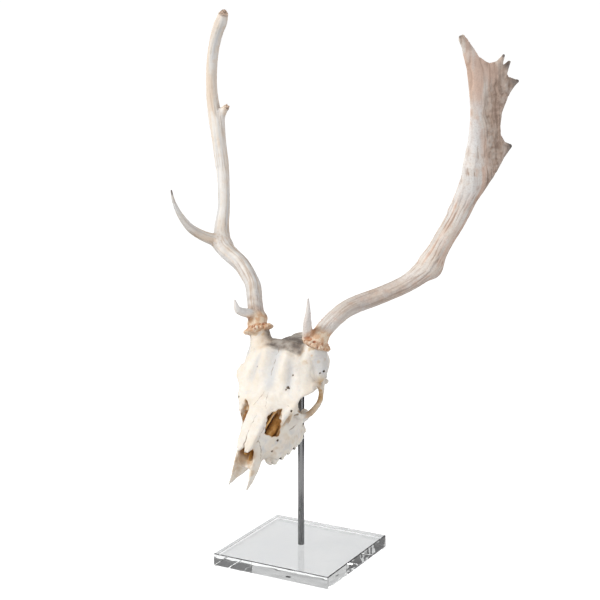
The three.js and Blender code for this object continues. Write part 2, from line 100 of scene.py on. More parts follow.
def noise(p, seed=0):
    """Smooth value noise between -1 and 1 at the points p, one unit to a cell."""
    cell = np.floor(p).astype(np.int64)
    f = p - cell
    f = f * f * (3 - 2 * f)
    total = 0.0
    for corner in range(8):
        o = (corner & 1, corner >> 1 & 1, corner >> 2)
        w = 1.0
        for axis in range(3):
            w = w * (f[:, axis] if o[axis] else 1 - f[:, axis])
        total = total + w * hashed(cell[:, 0] + o[0], cell[:, 1] + o[1], cell[:, 2] + o[2], seed)
    return total


def fractal(p, octaves, seed=0):
    total = np.zeros(len(p))
    for i in range(octaves):
        total += noise(p * 2.03**i + 17.3 * i, seed + i) * 0.5**i
    return total


def outline_distance(outline, u, v):
    """Signed distance in a plane to a closed outline, negative inside."""
    best = np.full(u.shape, FAR)
    inside = np.zeros(u.shape, bool)
    for (au, av), (bu, bv) in zip(outline, np.roll(outline, -1, 0)):
        eu, ev = bu - au, bv - av
        t = np.clip(((u - au) * eu + (v - av) * ev) / (eu * eu + ev * ev), 0, 1)
        best = np.minimum(best, (u - au - t * eu) ** 2 + (v - av - t * ev) ** 2)
        if ev:
            inside ^= ((av > v) != (bv > v)) & (u < au + (v - av) * eu / ev)
    return np.where(inside, -1, 1) * np.sqrt(best)


# ---- solids as distances


def folded(low, high):
    """The least and greatest |x| in a box."""
    near = 0.0 if low[0] < 0 < high[0] else min(abs(low[0]), abs(high[0]))
    return near, max(abs(low[0]), abs(high[0]))


class Shape:
    """A solid as a signed distance, negative inside, with the box that holds it.

    A mirrored one is on both sides of x = 0.
    """

    mirrored = False

    def misses(self, low, high, margin):
        a, b = self.low, self.high
        axes = (0, 1, 2)
        if self.mirrored:
            near, far = folded(low, high)
            if near > b[0] + margin or far < a[0] - margin:
                return True
            axes = (1, 2)
        return any(low[i] > b[i] + margin or high[i] < a[i] - margin for i in axes)

    def distance(self, x, y, z, low, high, margin):
        if self.mirrored:
            near, far = folded(low, high)
            x = np.abs(x)
            low, high = (near, low[1], low[2]), (far, high[1], high[2])
        return self.measure(x, y, z, low, high, margin)


class Limb(Shape):
    """A round or flat bar along a smooth route of [x, y, z, radius]."""

    def __init__(self, route, steps=4, flat=None, thin=1.0, mirrored=False):
        rows = smooth_rows(route, steps)
        self.rows = rows.astype(np.float32)
        self.flat = None if flat is None else unit(flat).astype(np.float32)
        self.thin = thin
        self.mirrored = mirrored
        r = rows[:, 3:4]
        self.low = (rows[:, :3] - r).min(0)
        self.high = (rows[:, :3] + r).max(0)

    def measure(self, x, y, z, low, high, margin):
        best = np.full(x.shape, FAR, np.float32)
        for a, b in zip(self.rows[:-1], self.rows[1:]):
            r = max(a[3], b[3]) + margin
            if any(min(a[i], b[i]) - r > high[i] or max(a[i], b[i]) + r < low[i] for i in range(3)):
                continue
            best = np.minimum(best, self.segment(a, b, x, y, z))
        return best

    def segment(self, a, b, x, y, z):
        bx, by, bz = b[:3] - a[:3]
        px, py, pz = x - a[0], y - a[1], z - a[2]
        t = np.clip((px * bx + py * by + pz * bz) / (bx * bx + by * by + bz * bz), 0.0, 1.0)
        px = px - t * bx
        py = py - t * by
        pz = pz - t * bz
        r = a[3] + t * (b[3] - a[3])
        square = px * px + py * py + pz * pz
        if self.flat is None:
            return np.sqrt(square) - r
        n = self.flat
        h = px * n[0] + py * n[1] + pz * n[2]
        rest = np.maximum(square - h * h, 0.0)
        s = r * self.thin
        k0 = np.sqrt(h * h / (s * s) + rest / (r * r))
        k1 = np.sqrt(h * h / s**4 + rest / r**4)
        return np.where(k0 < 0.05, -s, k0 * (k0 - 1.0) / np.maximum(k1, 1e-6))


class Loft(Shape):
    """Sections [y, bottom, top, low half width, high half width] along y, oval to square."""

    def __init__(self, rows, square=2.3, cap=4.0, x=0.0, mirrored=False):
        self.rows = smooth_rows(rows, 6).astype(np.float32)
        self.square = square
        self.cap = cap
        self.x = x
        self.mirrored = mirrored
        half = self.rows[:, 3:5].max()
        self.low = (x - half, self.rows[0, 0], self.rows[:, 1].min())
        self.high = (x + half, self.rows[-1, 0], self.rows[:, 2].max())

    def measure(self, x, y, z, low, high, margin):
        at = self.rows[:, 0]
        bottom, top, wide, upper = (np.interp(y, at, self.rows[:, i]) for i in (1, 2, 3, 4))
        h = (top - bottom) / 2
        s = (z - (top + bottom) / 2) / h
        w = wide + (upper - wide) * ease(-1.0, 1.0, s)
        n = self.square
        a = np.abs(x - self.x) / w
        s = np.abs(s)
        q = np.maximum((a**n + s**n) ** (1 / n), 1e-3)
        g = q ** (1 - n) * np.sqrt((a ** (n - 1) / w) ** 2 + (s ** (n - 1) / h) ** 2)
        d = (q - 1) / np.maximum(g, 1e-3)
        return smooth_max(d, np.maximum(at[0] - y, y - at[-1]), self.cap).astype(np.float32)


class Oval(Shape):
    """An ellipsoid, whose own axes may be turned."""

    def __init__(self, centre, radii, axes=None, mirrored=False):
        self.centre = np.asarray(centre, float)
        self.radii = radii
        self.axes = np.eye(3) if axes is None else np.array([unit(a) for a in axes])
        self.mirrored = mirrored
        r = max(radii)
        self.low, self.high = self.centre - r, self.centre + r

    def measure(self, x, y, z, low, high, margin):
        px, py, pz = x - self.centre[0], y - self.centre[1], z - self.centre[2]
        k0 = k1 = 0.0
        for axis, r in zip(self.axes, self.radii):
            c = (px * axis[0] + py * axis[1] + pz * axis[2]) / r
            k0 = k0 + c * c
            k1 = k1 + (c / r) ** 2
        k0, k1 = np.sqrt(k0), np.sqrt(k1)
        d = np.where(k0 < 0.05, -min(self.radii), k0 * (k0 - 1) / np.maximum(k1, 1e-6))
        return d.astype(np.float32)


class Prism(Shape):
    """The outline through a loop of points [x, y, z], carried along way to either side of their middle."""

    def __init__(self, loop, way, depth, rounding, mirrored=False):
        loop = np.asarray(loop, float)
        self.way = unit(way)
        self.centre = loop.mean(0)
        self.across = unit(np.cross(self.way, (0, 0.3, 1)))
        self.along = np.cross(self.way, self.across)
        flat = loop - self.centre
        self.outline = np.stack([flat @ self.across, flat @ self.along], 1)
        self.depth = depth
        self.rounding = rounding
        self.mirrored = mirrored
        reach = np.abs(flat).max() + depth
        self.low, self.high = self.centre - reach, self.centre + reach

    def measure(self, x, y, z, low, high, margin):
        px, py, pz = x - self.centre[0], y - self.centre[1], z - self.centre[2]
        u, v, h = (px * a[0] + py * a[1] + pz * a[2] for a in (self.across, self.along, self.way))
        d = outline_distance(self.outline, u, v) + 0.8 * np.sin(0.62 * u + 1.0) * np.sin(0.47 * v + 2.0)
        return smooth_max(d, np.abs(h) - self.depth, self.rounding).astype(np.float32)


class Field:
    """Solids added and cut one after another, each blended with what is there."""

    def __init__(self):
        self.steps = []

    def add(self, shape, blend=2.0):
        self.steps.append((1, shape, blend))

    def cut(self, shape, blend=1.0):
        self.steps.append((-1, shape, blend))

    def near(self, low, high):
        return any(sign > 0 and not s.misses(low, high, blend + 1) for sign, s, blend in self.steps)

    def at(self, x, y, z, low, high):
        d = np.full(x.shape, FAR, np.float32)
        for sign, shape, blend in self.steps:
            margin = blend + BAND
            if shape.misses(low, high, margin):
                continue
            other = shape.distance(x, y, z, low, high, margin)
            d = smooth_min(d, other, blend) if sign > 0 else smooth_max(d, -other, blend)
        return d

    def at_points(self, p, size=24.0):
        """The distance at scattered points, worked out one block of space at a time."""
        out = np.empty(len(p), np.float32)
        cell = np.floor(p / size).astype(np.int64)
        key = (cell[:, 0] * 4001 + cell[:, 1]) * 4001 + cell[:, 2]
        order = np.argsort(key, kind="stable")
        starts = np.flatnonzero(np.r_[True, np.diff(key[order]) != 0])
        for a, b in zip(starts, np.r_[starts[1:], len(p)]):
            who = order[a:b]
            q = p[who].astype(np.float32)
            out[who] = self.at(q[:, 0], q[:, 1], q[:, 2], q.min(0), q.max(0))
        return out

    def gradient(self, p, step=0.4):
        """The unit normals at scattered points, and how fast the distance grows along them."""
        g = np.empty((len(p), 3))
        for axis in range(3):
            o = np.zeros(3)
            o[axis] = step
            g[:, axis] = self.at_points(p + o) - self.at_points(p - o)
        size = np.linalg.norm(g, axis=1)
        return g / np.maximum(size, 1e-6)[:, None], size / (2 * step)

    def mesh(self, voxel):
        """Points and quads of the surface, faces outward, moved onto the exact surface."""
        shapes = [s for sign, s, _ in self.steps if sign > 0]
        lows = [np.where([s.mirrored, False, False], -np.asarray(s.high), s.low) for s in shapes]
        first = np.floor((np.min(lows, 0) - 6) / (voxel * CHUNK)).astype(int)
        last = np.ceil((np.max([s.high for s in shapes], 0) + 6) / (voxel * CHUNK)).astype(int)
        grid = openvdb.FloatGrid(BAND)
        grid.gridClass = openvdb.GridClass.LEVEL_SET
        steps = np.arange(CHUNK, dtype=np.float32)
        for block in itertools.product(*(range(a, b) for a, b in zip(first, last))):
            corner = np.array(block) * CHUNK
            a, b = corner * voxel, (corner + CHUNK) * voxel
            if not self.near(a, b):
                continue
            x, y, z = np.meshgrid(*((c + steps) * voxel for c in corner), indexing="ij")
            d = self.at(x, y, z, a, b)
            if d.min() > 1.0:
                continue
            d = np.clip(d, -BAND, BAND).astype(np.float32)
            grid.copyFromArray(d, ijk=tuple(int(c) for c in corner))
        points, quads = grid.convertToQuads(0.0)
        points = points.astype(float) * voxel
        for _ in range(2):
            normal, steep = self.gradient(points)
            off = self.at_points(points) / np.maximum(steep, 0.5)
            points -= normal * np.clip(off, -voxel / 2, voxel / 2)[:, None]
        return points, quads.astype(np.int64)


# ---- meshes in Blender


def new_piece(name, points, faces, layers, material, nodes, slot):
    """A Blender mesh piece of points in mm, with one number per point in each named layer."""
    mesh = bpy.data.meshes.new(name)
    side = faces.shape[1]
    mesh.vertices.add(len(points))
    mesh.vertices.foreach_set("co", (points * MM).astype(np.float32).ravel())
    mesh.loops.add(len(faces) * side)
    mesh.loops.foreach_set("vertex_index", faces.astype(np.int32).ravel())
    mesh.polygons.add(len(faces))
    mesh.polygons.foreach_set("loop_start", np.arange(len(faces), dtype=np.int32) * side)
    mesh.polygons.foreach_set("use_smooth", np.ones(len(faces), bool))
    mesh.update(calc_edges=True)
    for key, values in layers.items():
        layer = mesh.attributes.new(key, "FLOAT", "POINT")
        layer.data.foreach_set("value", np.asarray(values, np.float32))
    piece = bpy.data.objects.new(name, mesh)
    bpy.context.scene.collection.objects.link(piece)
    mesh.materials.append(material)
    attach(piece, "root")
    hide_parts(*nodes)


def part_of(points, faces, layers, keep):
    """The faces marked in keep, with only the points they use."""
    faces = faces[keep]
    used, flat = np.unique(faces, return_inverse=True)
    return points[used], flat.reshape(faces.shape), {k: v[used] for k, v in layers.items()}


# ---- the skull, in its own frame: x to its left, y ahead, z up, in mm

YAW, PITCH, ROLL = (math.radians(a) for a in (4, 32, 7))  # the skull's pose on the stand
SKULL_AT = np.array((-2.0, 55.0, 286.0))


def skull_axes():
    ahead = np.array((-math.sin(YAW), -math.cos(YAW), 0))
    left = np.array((math.cos(YAW), -math.sin(YAW), 0))
    up = np.array((0, 0, 1.0))
    nose = ahead * math.cos(PITCH) - up * math.sin(PITCH)
    crown = ahead * math.sin(PITCH) + up * math.cos(PITCH)
    rolled_left = left * math.cos(ROLL) - crown * math.sin(ROLL)
    rolled_crown = crown * math.cos(ROLL) + left * math.sin(ROLL)
    return np.stack([rolled_left, nose, rolled_crown], 1)


SKULL_AXES = skull_axes()


def to_stand(p):
    return np.asarray(p, float) @ SKULL_AXES.T + SKULL_AT


CORONET = np.array((50.0, 49.0, 128.0))  # middle of the left antler's ring
NECK = np.array((43.0, 58.0, 118.0))  # the pedicle's middle line, a little under it
# Middle of each cheek tooth, first premolar to last molar: [y, x, drop under the first].
TEETH = [
    (181, 21.5, 0), (167.6, 26, 2.2), (154.2, 29.3, 4.2), (140.8, 31.2, 6.2), (127.4, 31.4, 8.2),
    (114, 28.8, 8.4),
]
FIRST_MOLAR = 3
# Edge of the brow over the orbit: [y, x, z].
BROW = np.array([
    (52, 38, 104), (60, 46, 105), (70, 53, 102), (80, 57, 98), (86, 59, 95.5), (95, 61.5, 93.5),
    (104, 67.5, 89.5), (114, 63.5, 87), (122, 56, 84), (130, 50.5, 79.5), (138, 46, 74), (146, 42, 69),
])
# Height of the forehead's middle line: [y, z].
MIDLINE = np.array([
    (50, 117), (60, 123), (70, 127.5), (78, 130), (84, 128.5), (90, 124), (100, 114.5), (110, 105),
    (118, 97.5), (126, 91), (134, 87), (142, 84),
])


def groove_side(y):
    """How far from the middle the groove over each orbit runs."""
    return 29 + 0.16 * (y - 98)


def roof_height(x, y):
    """Height of the forehead: a middle valley, bosses beside it, grooves over the orbits, the brow."""
    side = np.abs(x)
    edge = np.interp(y, BROW[:, 0], BROW[:, 1])
    drop = np.interp(y, BROW[:, 0], BROW[:, 2])
    mid = np.interp(y, MIDLINE[:, 0], MIDLINE[:, 1])
    s = np.clip((side - 18) / (edge - 18), 0, 1.2)
    z = mid + (drop - mid) * s**1.35
    forehead = ease(66, 80, y) * (1 - ease(120, 136, y))
    z = z - 4.8 * bump(side, 0, 8.5) * forehead
    z = z + 3.6 * bump(side, 18, 8) * ease(74, 88, y) * (1 - ease(104, 122, y))
    z = z - 3.8 * bump(side, groove_side(y) + 1, 6) * ease(88, 104, y) * (1 - ease(110, 128, y))
    return z


class Roof(Shape):
    """The frontal bones: a thick roof in the middle that thins to the brows."""

    low = (-62, 52, 55)
    high = (65, 148, 134)

    def measure(self, x, y, z, low, high, margin):
        top = roof_height(x, y)
        side = np.abs(x)
        edge = np.interp(y, BROW[:, 0], BROW[:, 1]) - 4.0 * bump(y, 119, 9) * (x > 0)
        thick = 40 - 33.5 * ease(8, 34, side)
        d = smooth_max((z - top) * 0.86, (top - thick - z) * 0.8, 3.0)
        d = smooth_max(d, (side - edge) * 0.9, 3.0)
        return smooth_max(d, np.maximum(52 - y, y - 146), 6.0).astype(np.float32)


# Opening between the nasal, frontal, lacrimal and maxillary bones, and the way it faces.
WINDOW = [
    (21, 148, 74), (27.5, 140, 73), (34, 157, 63), (34.5, 171, 48), (28, 179, 53), (20, 184, 63),
    (14, 157, 73),
]
WINDOW_WAY = (0.48, 0.55, 0.68)
WINDOW_HOLE = Prism(WINDOW, WINDOW_WAY, 13, 2.0, mirrored=True)
NOSE_ROWS = [
    (138, 44, 70, 18, 20), (150, 36, 73, 25, 26), (160, 31, 72.5, 27, 25), (174, 28, 66.5, 24, 21),
    (188, 26, 61, 18, 17.5), (200, 25, 56.5, 14.5, 15), (210, 24, 54, 13, 13.5), (218, 21, 51, 12.5, 13),
    (240, 18, 50, 12.5, 13),
]
NOSE = Loft(NOSE_ROWS, square=2.8, cap=3)
EYE = Oval((53, 109, 65), (36, 23, 21), mirrored=True)
# Small openings for nerves and vessels, on both sides and on one side only.
HOLES = [
    [(33, 174, 39, 1.7), (22, 168, 37, 1.8)],
    [(27, 187, 27, 1.4), (18, 182, 28, 1.2)],
    [(45, 141, 75, 1.4), (40, 133, 66, 1.3)],
    [(51, 134, 62, 1.5), (44, 136, 62, 1.5)],
    [(74, 74, 101, 1.7), (53, 68, 90, 1.4)],
    [(70, 79, 101, 1.1), (54, 74, 92, 1.0)],
]
ONE_SIDE_HOLES = [
    [(32, 116, 102, 1.9), (28.5, 114.5, 88, 1.7), (26, 108, 80, 1.5)],
    [(29.5, 120.5, 102, 1.0), (27.5, 118, 88, 0.9)],
    [(33.5, 117, 100, 0.9), (31, 115, 88, 0.8)],
    [(33, 100, 106, 1.0), (30, 99, 96, 0.8)],
    [(-27, 103, 110, 1.0), (-24, 101, 98, 0.9)],
]
PITS = [Limb(hole, steps=2, mirrored=True) for hole in HOLES]
PITS += [Limb(hole, steps=2) for hole in ONE_SIDE_HOLES]


def tooth_row(skull):
    """Three premolars and three molars on each side, with ribbed outer walls and worn crescents."""
    ends = ((-1, -3.4, 0.86), (-0.6, -4.8, 0.98), (0.6, -4.8, 0.98), (1, -3.4, 0.86))
    for i, (y, x, drop) in enumerate(TEETH):
        molar = i >= FIRST_MOLAR
        length, wide = (3.3, 6.3) if molar else (6.5, 5.2)
        for lobe in (-3.3, 3.3) if molar else (0.0,):
            rows = [(y + lobe + s * length, low - drop, 14 - drop, w * wide, w * wide) for s, low, w in ends]
            skull.add(Loft(rows, square=3.6, cap=1.2, x=x, mirrored=True), 0.6)
        for rib in (-5.8, 0.0, 5.8) if molar else (-3.6, 3.6):
            bar = [(x + wide - in_by, y + rib, z - drop, r)
                   for in_by, z, r in ((1.4, 12, 1.2), (0.6, 4, 1.2), (0.9, -2.5, 0.9))]
            pair(skull, bar, 0.8, steps=2)
    for i, (y, x, drop) in enumerate(TEETH):
        for lobe in (-3.4, 3.4) if i >= FIRST_MOLAR else (0.0,):
            skull.cut(Oval((x + 0.4, y + lobe, -5.2 - drop), (3.4, 1.9, 2.6), mirrored=True), 0.8)
            skull.add(Oval((x - 0.6, y + lobe, -3.2 - drop), (0.7, 1.7, 1.4), mirrored=True), 0.6)


def pair(skull, route, blend, **how):
    """A bar on each side."""
    skull.add(Limb(route, mirrored=True, **how), blend)


def dig(skull, route, blend, **how):
    """A channel along a route."""
    skull.cut(Limb(route, **how), blend)


def add_crown(skull):
    """The braincase, the forehead and the pedicles, with a ridge that runs down to the brow."""
    braincase = [
        (0, 35, 80, 30, 26), (12, 27, 92, 42, 35), (30, 27, 105, 42, 37), (54, 32, 117, 38, 37),
        (76, 42, 120, 27, 32), (96, 46, 112, 19, 26), (116, 48, 99, 17, 20), (134, 50, 86, 18, 18),
    ]
    skull.add(Loft(braincase, cap=9), 3)
    skull.add(Roof(), 5)
    pair(skull, [(30, 74, 98, 18), (36, 67, 108, 16.5), (*NECK, 14.3), (47.5, 52, 125, 14.6)], 8)
    pair(skull, [(44, 70, 116, 5), (47, 78, 107, 5), (48, 90, 97, 4.5)], 8)
    pair(skull, [(46, 53, 117, 13.5), (51, 62, 104, 11), (56, 72, 95, 8), (60, 80, 88, 5)], 8)
    crest = [
        (-32, 57, 109, 8), (-15, 59, 116, 8.3), (0, 60, 120, 8.3), (16, 60, 121.5, 8.3), (32, 57, 115, 8),
    ]
    skull.add(Limb(crest), 7)
    skull.add(Limb([(50, 52, 117, 14.5), (57, 61, 104, 12), (62, 70, 94, 9), (64, 77, 87, 5.5)]), 6)


def add_base(skull):
    """Nuchal crest, condyles, processes, bullae, the base's middle bar and the pterygoids."""
    pair(skull, [(30, 9, 66, 3.5), (24, 5, 77, 3.6), (12, 3, 84, 3.6), (0, 3, 86, 3.6)], 5)
    pair(skull, [(8, 4, 28, 6), (13, 3, 36, 7.5), (14, 2, 46, 6.5), (12, 4, 54, 5)], 3)
    pair(skull, [(33, 19, 44, 6), (29, 18, 30, 4.6), (26, 16, 14, 2.6)], 4, flat=(0.2, 1, 0), thin=0.6)
    pair(skull, [(36, 24, 50, 7), (35, 26, 40, 5)], 4)
    pair(skull, [(24, 34, 30, 8), (22, 45, 25, 8.5), (19, 54, 25, 5), (17, 60, 27, 2.5)], 3)
    pair(skull, [(7, 20, 30, 9), (7, 40, 31, 9), (6, 62, 34, 9), (5, 84, 40, 9), (4, 104, 46, 9)], 5)
    wings = [(17, 68, 44, 5), (16, 82, 34, 5), (15, 98, 27, 5), (16, 112, 22, 5)]
    pair(skull, wings, 3, flat=(1, 0.1, 0), thin=0.42)
    dig(skull, [(0, -6, 50, 9.5), (0, 12, 50, 9.5), (0, 30, 54, 12)], 2)
    dig(skull, [(48, 30, 46, 3), (30, 33, 45, 3.4)], 1.5, mirrored=True)


def add_muzzle(skull):
    """The maxillae with the swelling of the tooth roots and the facial crest, and the nasal bones."""
    muzzle = [
        (98, 18, 60, 22, 25), (110, 7, 60, 30, 37), (122, -2, 74, 36, 44), (138, -3, 86, 39.5, 44),
        (156, 0, 80.5, 40, 33), (174, 4, 74.5, 35, 25), (186, 7, 70, 28, 22), (196, 11, 65.5, 21.5, 19.5),
        (206, 14, 58, 17.5, 17), (214, 15, 49, 16, 16), (221, 15, 36, 15.5, 15),
    ]
    skull.add(Loft(muzzle, square=2.6, cap=3), 6)
    pair(skull, [(27, 180, 14, 7), (32, 164, 12, 9), (33, 144, 11, 9.5), (31, 122, 12, 8)], 12)
    pair(skull, [(50, 122, 43, 6), (44, 136, 41, 6), (38, 150, 35, 5), (33, 164, 29, 4)], 12)
    pair(skull, [(36, 108, 22, 7), (34, 98, 22, 6)], 5)
    nasal = [
        (118, 80, 92.5, 9, 8), (145, 72, 84.5, 11, 10), (170, 64, 76.5, 10.5, 9.5), (198, 58, 67, 8.8, 8.0),
        (209, 54.5, 62, 7.6, 6.6), (216, 54.5, 58.5, 5, 3.8), (221, 55, 57.2, 2.6, 1.8),
    ]
    skull.add(Loft(nasal, square=3.6, cap=0.8, x=6.6, mirrored=True), 5)


def cut_cavities(skull):
    """Nose, mouth, throat, orbits and temporal pits."""
    skull.cut(NOSE, 2)
    mouth = [
        (92, -20, 20, 22, 20), (112, -20, 19, 25, 23), (135, -20, 20, 28, 25), (160, -20, 20, 25, 21),
        (182, -20, 20, 18, 14), (200, -20, 15, 14, 10), (214, -20, 11, 14, 10), (262, -20, 5, 12, 10),
    ]
    skull.cut(Loft(mouth, square=3.2, cap=3), 3)
    dig(skull, [(7.5, 80, 24, 6), (8, 96, 29, 7), (9, 120, 36, 7.5), (10, 142, 44, 8)], 2, mirrored=True)
    skull.cut(EYE, 2)
    dig(skull, [(60, 108, 65, 19), (76, 106, 65, 21)], 3, steps=2, mirrored=True)
    leaning = [(1, 0, 0.05), (0, 1, 0.25), (-0.05, -0.25, 1)]
    skull.cut(Oval((53, 58, 70), (16, 24, 20), axes=leaning, mirrored=True), 5)


def add_orbits(skull):
    """The bars round the orbit, the cheek arch, and the lacrimal strip ahead of the orbit with its pit."""
    ring = [
        (61, 104, 88.5, 2.4), (62, 95, 89.5, 3.2), (63, 88, 84, 3.6), (63.5, 85, 76, 3.2),
        (63.5, 85, 66, 3.0), (62.5, 87, 56, 3.2), (60.5, 93, 47, 3.6), (57, 104, 42.5, 4),
        (53.5, 117, 43.5, 4.4), (50, 127, 49, 4.6), (47, 133, 58, 4.6), (45.5, 135.5, 68, 4.4),
        (46, 133, 76, 3.4),
    ]
    pair(skull, ring, 4)
    post = [
        (54, 80, 95, 7), (59, 81, 88, 5.4), (61, 81, 78, 4.6), (61.5, 81, 66, 4.4), (61.5, 82, 56, 5),
        (60.5, 84, 49, 5),
    ]
    pair(skull, post, 3, flat=(1, -0.35, 0), thin=0.45)
    arch = [
        (55, 108, 41, 5), (59, 96, 43, 5), (60, 88, 46, 5), (58, 76, 51, 5), (55, 66, 55.5, 4.8),
        (52, 57, 59, 4.6), (46, 48, 60, 5), (38, 42, 59, 7),
    ]
    pair(skull, arch, 3, flat=(1, 0, 0), thin=0.5)
    pair(skull, [(56, 56, 55, 4), (46, 52, 53, 5), (36, 48, 51, 5)], 3, flat=(0, 0.2, 1), thin=0.6)
    pair(skull, [(44, 134, 74, 5), (39, 144, 70, 5), (33, 156, 62, 4.2), (28, 168, 53, 3.4)], 6)
    skull.cut(Oval((49, 146, 60), (5, 10, 7), mirrored=True), 6)


def open_windows(skull):
    """The openings ahead of the orbits, each with a slit and a thin strip beside it."""
    skull.cut(WINDOW_HOLE, 1.2)
    slit = [(42, 138, 74, 1.2), (40.5, 146, 68, 1.8), (38, 154, 58, 1.6), (36, 160, 51, 0.8)]
    dig(skull, slit, 2, mirrored=True)
    pair(skull, [(46, 134, 73, 1.6), (45, 142, 66, 1.8), (42, 151, 57, 1.4)], 3)


def add_premaxillae(skull):
    """A side wall that runs into the tip, and a thin floor plate."""
    wall = [
        (18, 196, 42, 8), (17, 208, 35, 9), (16.5, 220, 27, 9), (16.2, 231, 20, 6.6), (15.8, 241, 14.5, 4.6),
        (15.2, 251, 11, 2.6),
    ]
    pair(skull, wall, 2, flat=(1, 0, 0.25), thin=0.24)
    plate = [
        (8, 205, 15.5, 8), (9, 216, 15.5, 8.6), (10.5, 226, 14, 6.6), (12.8, 235, 12.5, 4.2),
        (14.6, 246, 11, 2.2),
    ]
    pair(skull, plate, 2.5, flat=(-0.45, 0.1, 1), thin=0.26)


def add_scrolls(skull):
    """The partition and the scrolls inside the nose, and the palate's front edge."""
    partition = [(0, 130, 40, 14), (0, 160, 38, 12), (0, 185, 34, 10), (0, 205, 26, 7)]
    skull.add(Limb(partition, flat=(1, 0, 0), thin=0.09), 0.8)
    scroll = [(16, 134, 50, 12), (17, 150, 46, 13), (15, 168, 41, 12), (11, 188, 36, 8), (8, 204, 32, 4)]
    pair(skull, scroll, 3, thin=0.5, flat=(1, 0, -0.4))
    pair(skull, [(22, 138, 72, 2.2), (18.5, 152, 69, 1.8), (14, 172, 60, 1.5)], 0.8)
    pair(skull, [(29, 140, 66, 4), (28, 148, 62, 3)], 2)
    pair(skull, [(14, 187, 8, 5), (16, 187.5, 2, 4.6), (17, 187, -2, 3.2)], 3)


def cut_small(skull):
    """The ragged front ends of the nasal bones, the small openings, and a groove ahead of the largest."""
    dig(skull, [(0, 226, 56, 2.6), (0, 215, 60, 1.0), (0, 208, 63, 0.4)], 0.6, steps=2)
    dig(skull, [(-11, 226, 55, 4.5), (-10, 217, 57, 1.5)], 0.8, steps=2)
    dig(skull, [(7.5, 226, 55, 3), (7, 215, 59, 0.8)], 0.6, steps=2)
    dig(skull, [(-4, 226, 58, 2.2), (-4.5, 218, 59, 0.6)], 0.6, steps=2)
    for pit in PITS:
        skull.cut(pit, 0.8)
    dig(skull, [(30, 119, 99, 2.5), (28, 129, 91, 2.0)], 5, mirrored=True)


def build_skull():
    skull = Field()
    for step in (add_crown, add_base, add_muzzle, cut_cavities, add_orbits, open_windows, add_premaxillae,
                 add_scrolls, tooth_row, cut_small):
        step(skull)
    return skull


# ---- the antlers, in the stand's frame: rows of [x, y, z, radius]

LEFT_LOWER = [
    (51, -60, 352, 15), (56, -55, 362, 14.3), (63, -46, 382, 12.9), (77, -14, 405, 13),
    (90, 14, 414, 13.2), (107, 33, 421, 13.1), (126, 49, 430, 13.1), (146, 63, 441, 13.7),
    (162, 71, 454, 15.6), (172, 77, 465, 16.8), (177, 79, 474, 17.3), (185, 83, 487, 16.5),
    (195, 87, 508, 15.3), (209, 90, 533, 15.6), (221, 91, 558, 16.3), (232, 90, 583, 17.3),
    (241, 88.5, 603, 16.8), (246, 85.5, 620, 13.6), (248, 83.5, 640, 10.4), (251, 82, 662, 7),
]
LEFT_BROW = [
    (46, -55, 366, 9.5), (44, -59, 371, 8.6), (50, -73, 396, 6.2), (56, -81, 418, 3.6),
    (58, -85, 436, 1.4),
]
RIGHT_LOWER = [
    (-42, -58, 362, 14.6), (-44, -55, 374, 14), (-50, -48, 388, 12.5), (-59, -38, 408, 11.8),
    (-75, -15, 427, 12.2), (-87, -3, 436, 12), (-101, 8, 445, 12.4), (-116, 17, 455, 12.5),
    (-138, 28, 464, 13), (-160, 42, 472, 13.8), (-174, 56, 484, 13.4), (-181, 66, 504, 11.7),
    (-181, 73, 532, 9.8), (-184, 78, 557, 9.8), (-190, 85, 594, 10.3), (-198, 89, 632, 10.4),
    (-205, 92, 663, 11.2), (-211, 92, 695, 9.9), (-212, 90, 720, 8.6), (-209, 86, 752, 8.6),
    (-201, 80, 784, 8.7), (-190, 74, 809, 9.4), (-180, 69, 825, 9.8), (-173, 65, 838, 7.6),
]
RIGHT_TREZ = [
    (-164, 48, 474, 12), (-176, 46, 480, 10.4), (-183, 44, 484, 9.6), (-194, 24, 494, 8),
    (-203, 4, 509, 6.5), (-211, -11, 531, 4.6), (-215, -20, 551, 3.1), (-216, -25, 569, 1.3),
]
RIGHT_BROW = [
    (-45, -42, 388, 9), (-50, -48, 391, 8.8), (-57, -62, 398, 7.2), (-63, -81, 406, 5.4),
    (-65, -87, 422, 1.4),
]
RIGHT_SNAG = [
    (-192, 86, 600, 9.6), (-199, 90, 636, 10), (-200.5, 92.5, 662, 9.6), (-199, 94, 676, 8.2),
    (-192.5, 95, 686, 6.2), (-187, 96.5, 691, 4.8),
]

# The palm lies in a plane of its own: u runs across it to the rear, v up along it.
PALM_AT = np.array((250.0, 88.0, 620.0))
PALM_ACROSS = unit((0.552, 0.833, 0.050))
PALM_ALONG = unit((0.093, -0.121, 0.988))
PALM_NORMAL = np.cross(PALM_ACROSS, PALM_ALONG)
PALM_OUTLINE = np.array([
    (-29, 3), (-26, 17), (-22, 44), (-22, 70), (-25, 106), (-29, 132), (-35, 158), (-43, 180), (-49, 190),
    (-49, 196), (-44, 197), (-33, 188), (-22, 176), (-13, 165), (-5, 160), (7, 154), (18, 156), (28, 165),
    (30, 165), (30, 158), (31, 150), (39, 155), (41, 154), (37, 143), (41, 132), (56, 126), (58, 124),
    (57, 121), (45, 107), (38, 93), (32, 80), (30, 61), (32, 47), (41, 35), (52, 30), (54, 27), (52, 24),
    (42, 12), (36, 2), (28, -12), (21, -28), (15, -46), (9, -66), (-9, -66), (-17, -46), (-24, -26),
    (-28, -8),
], float)
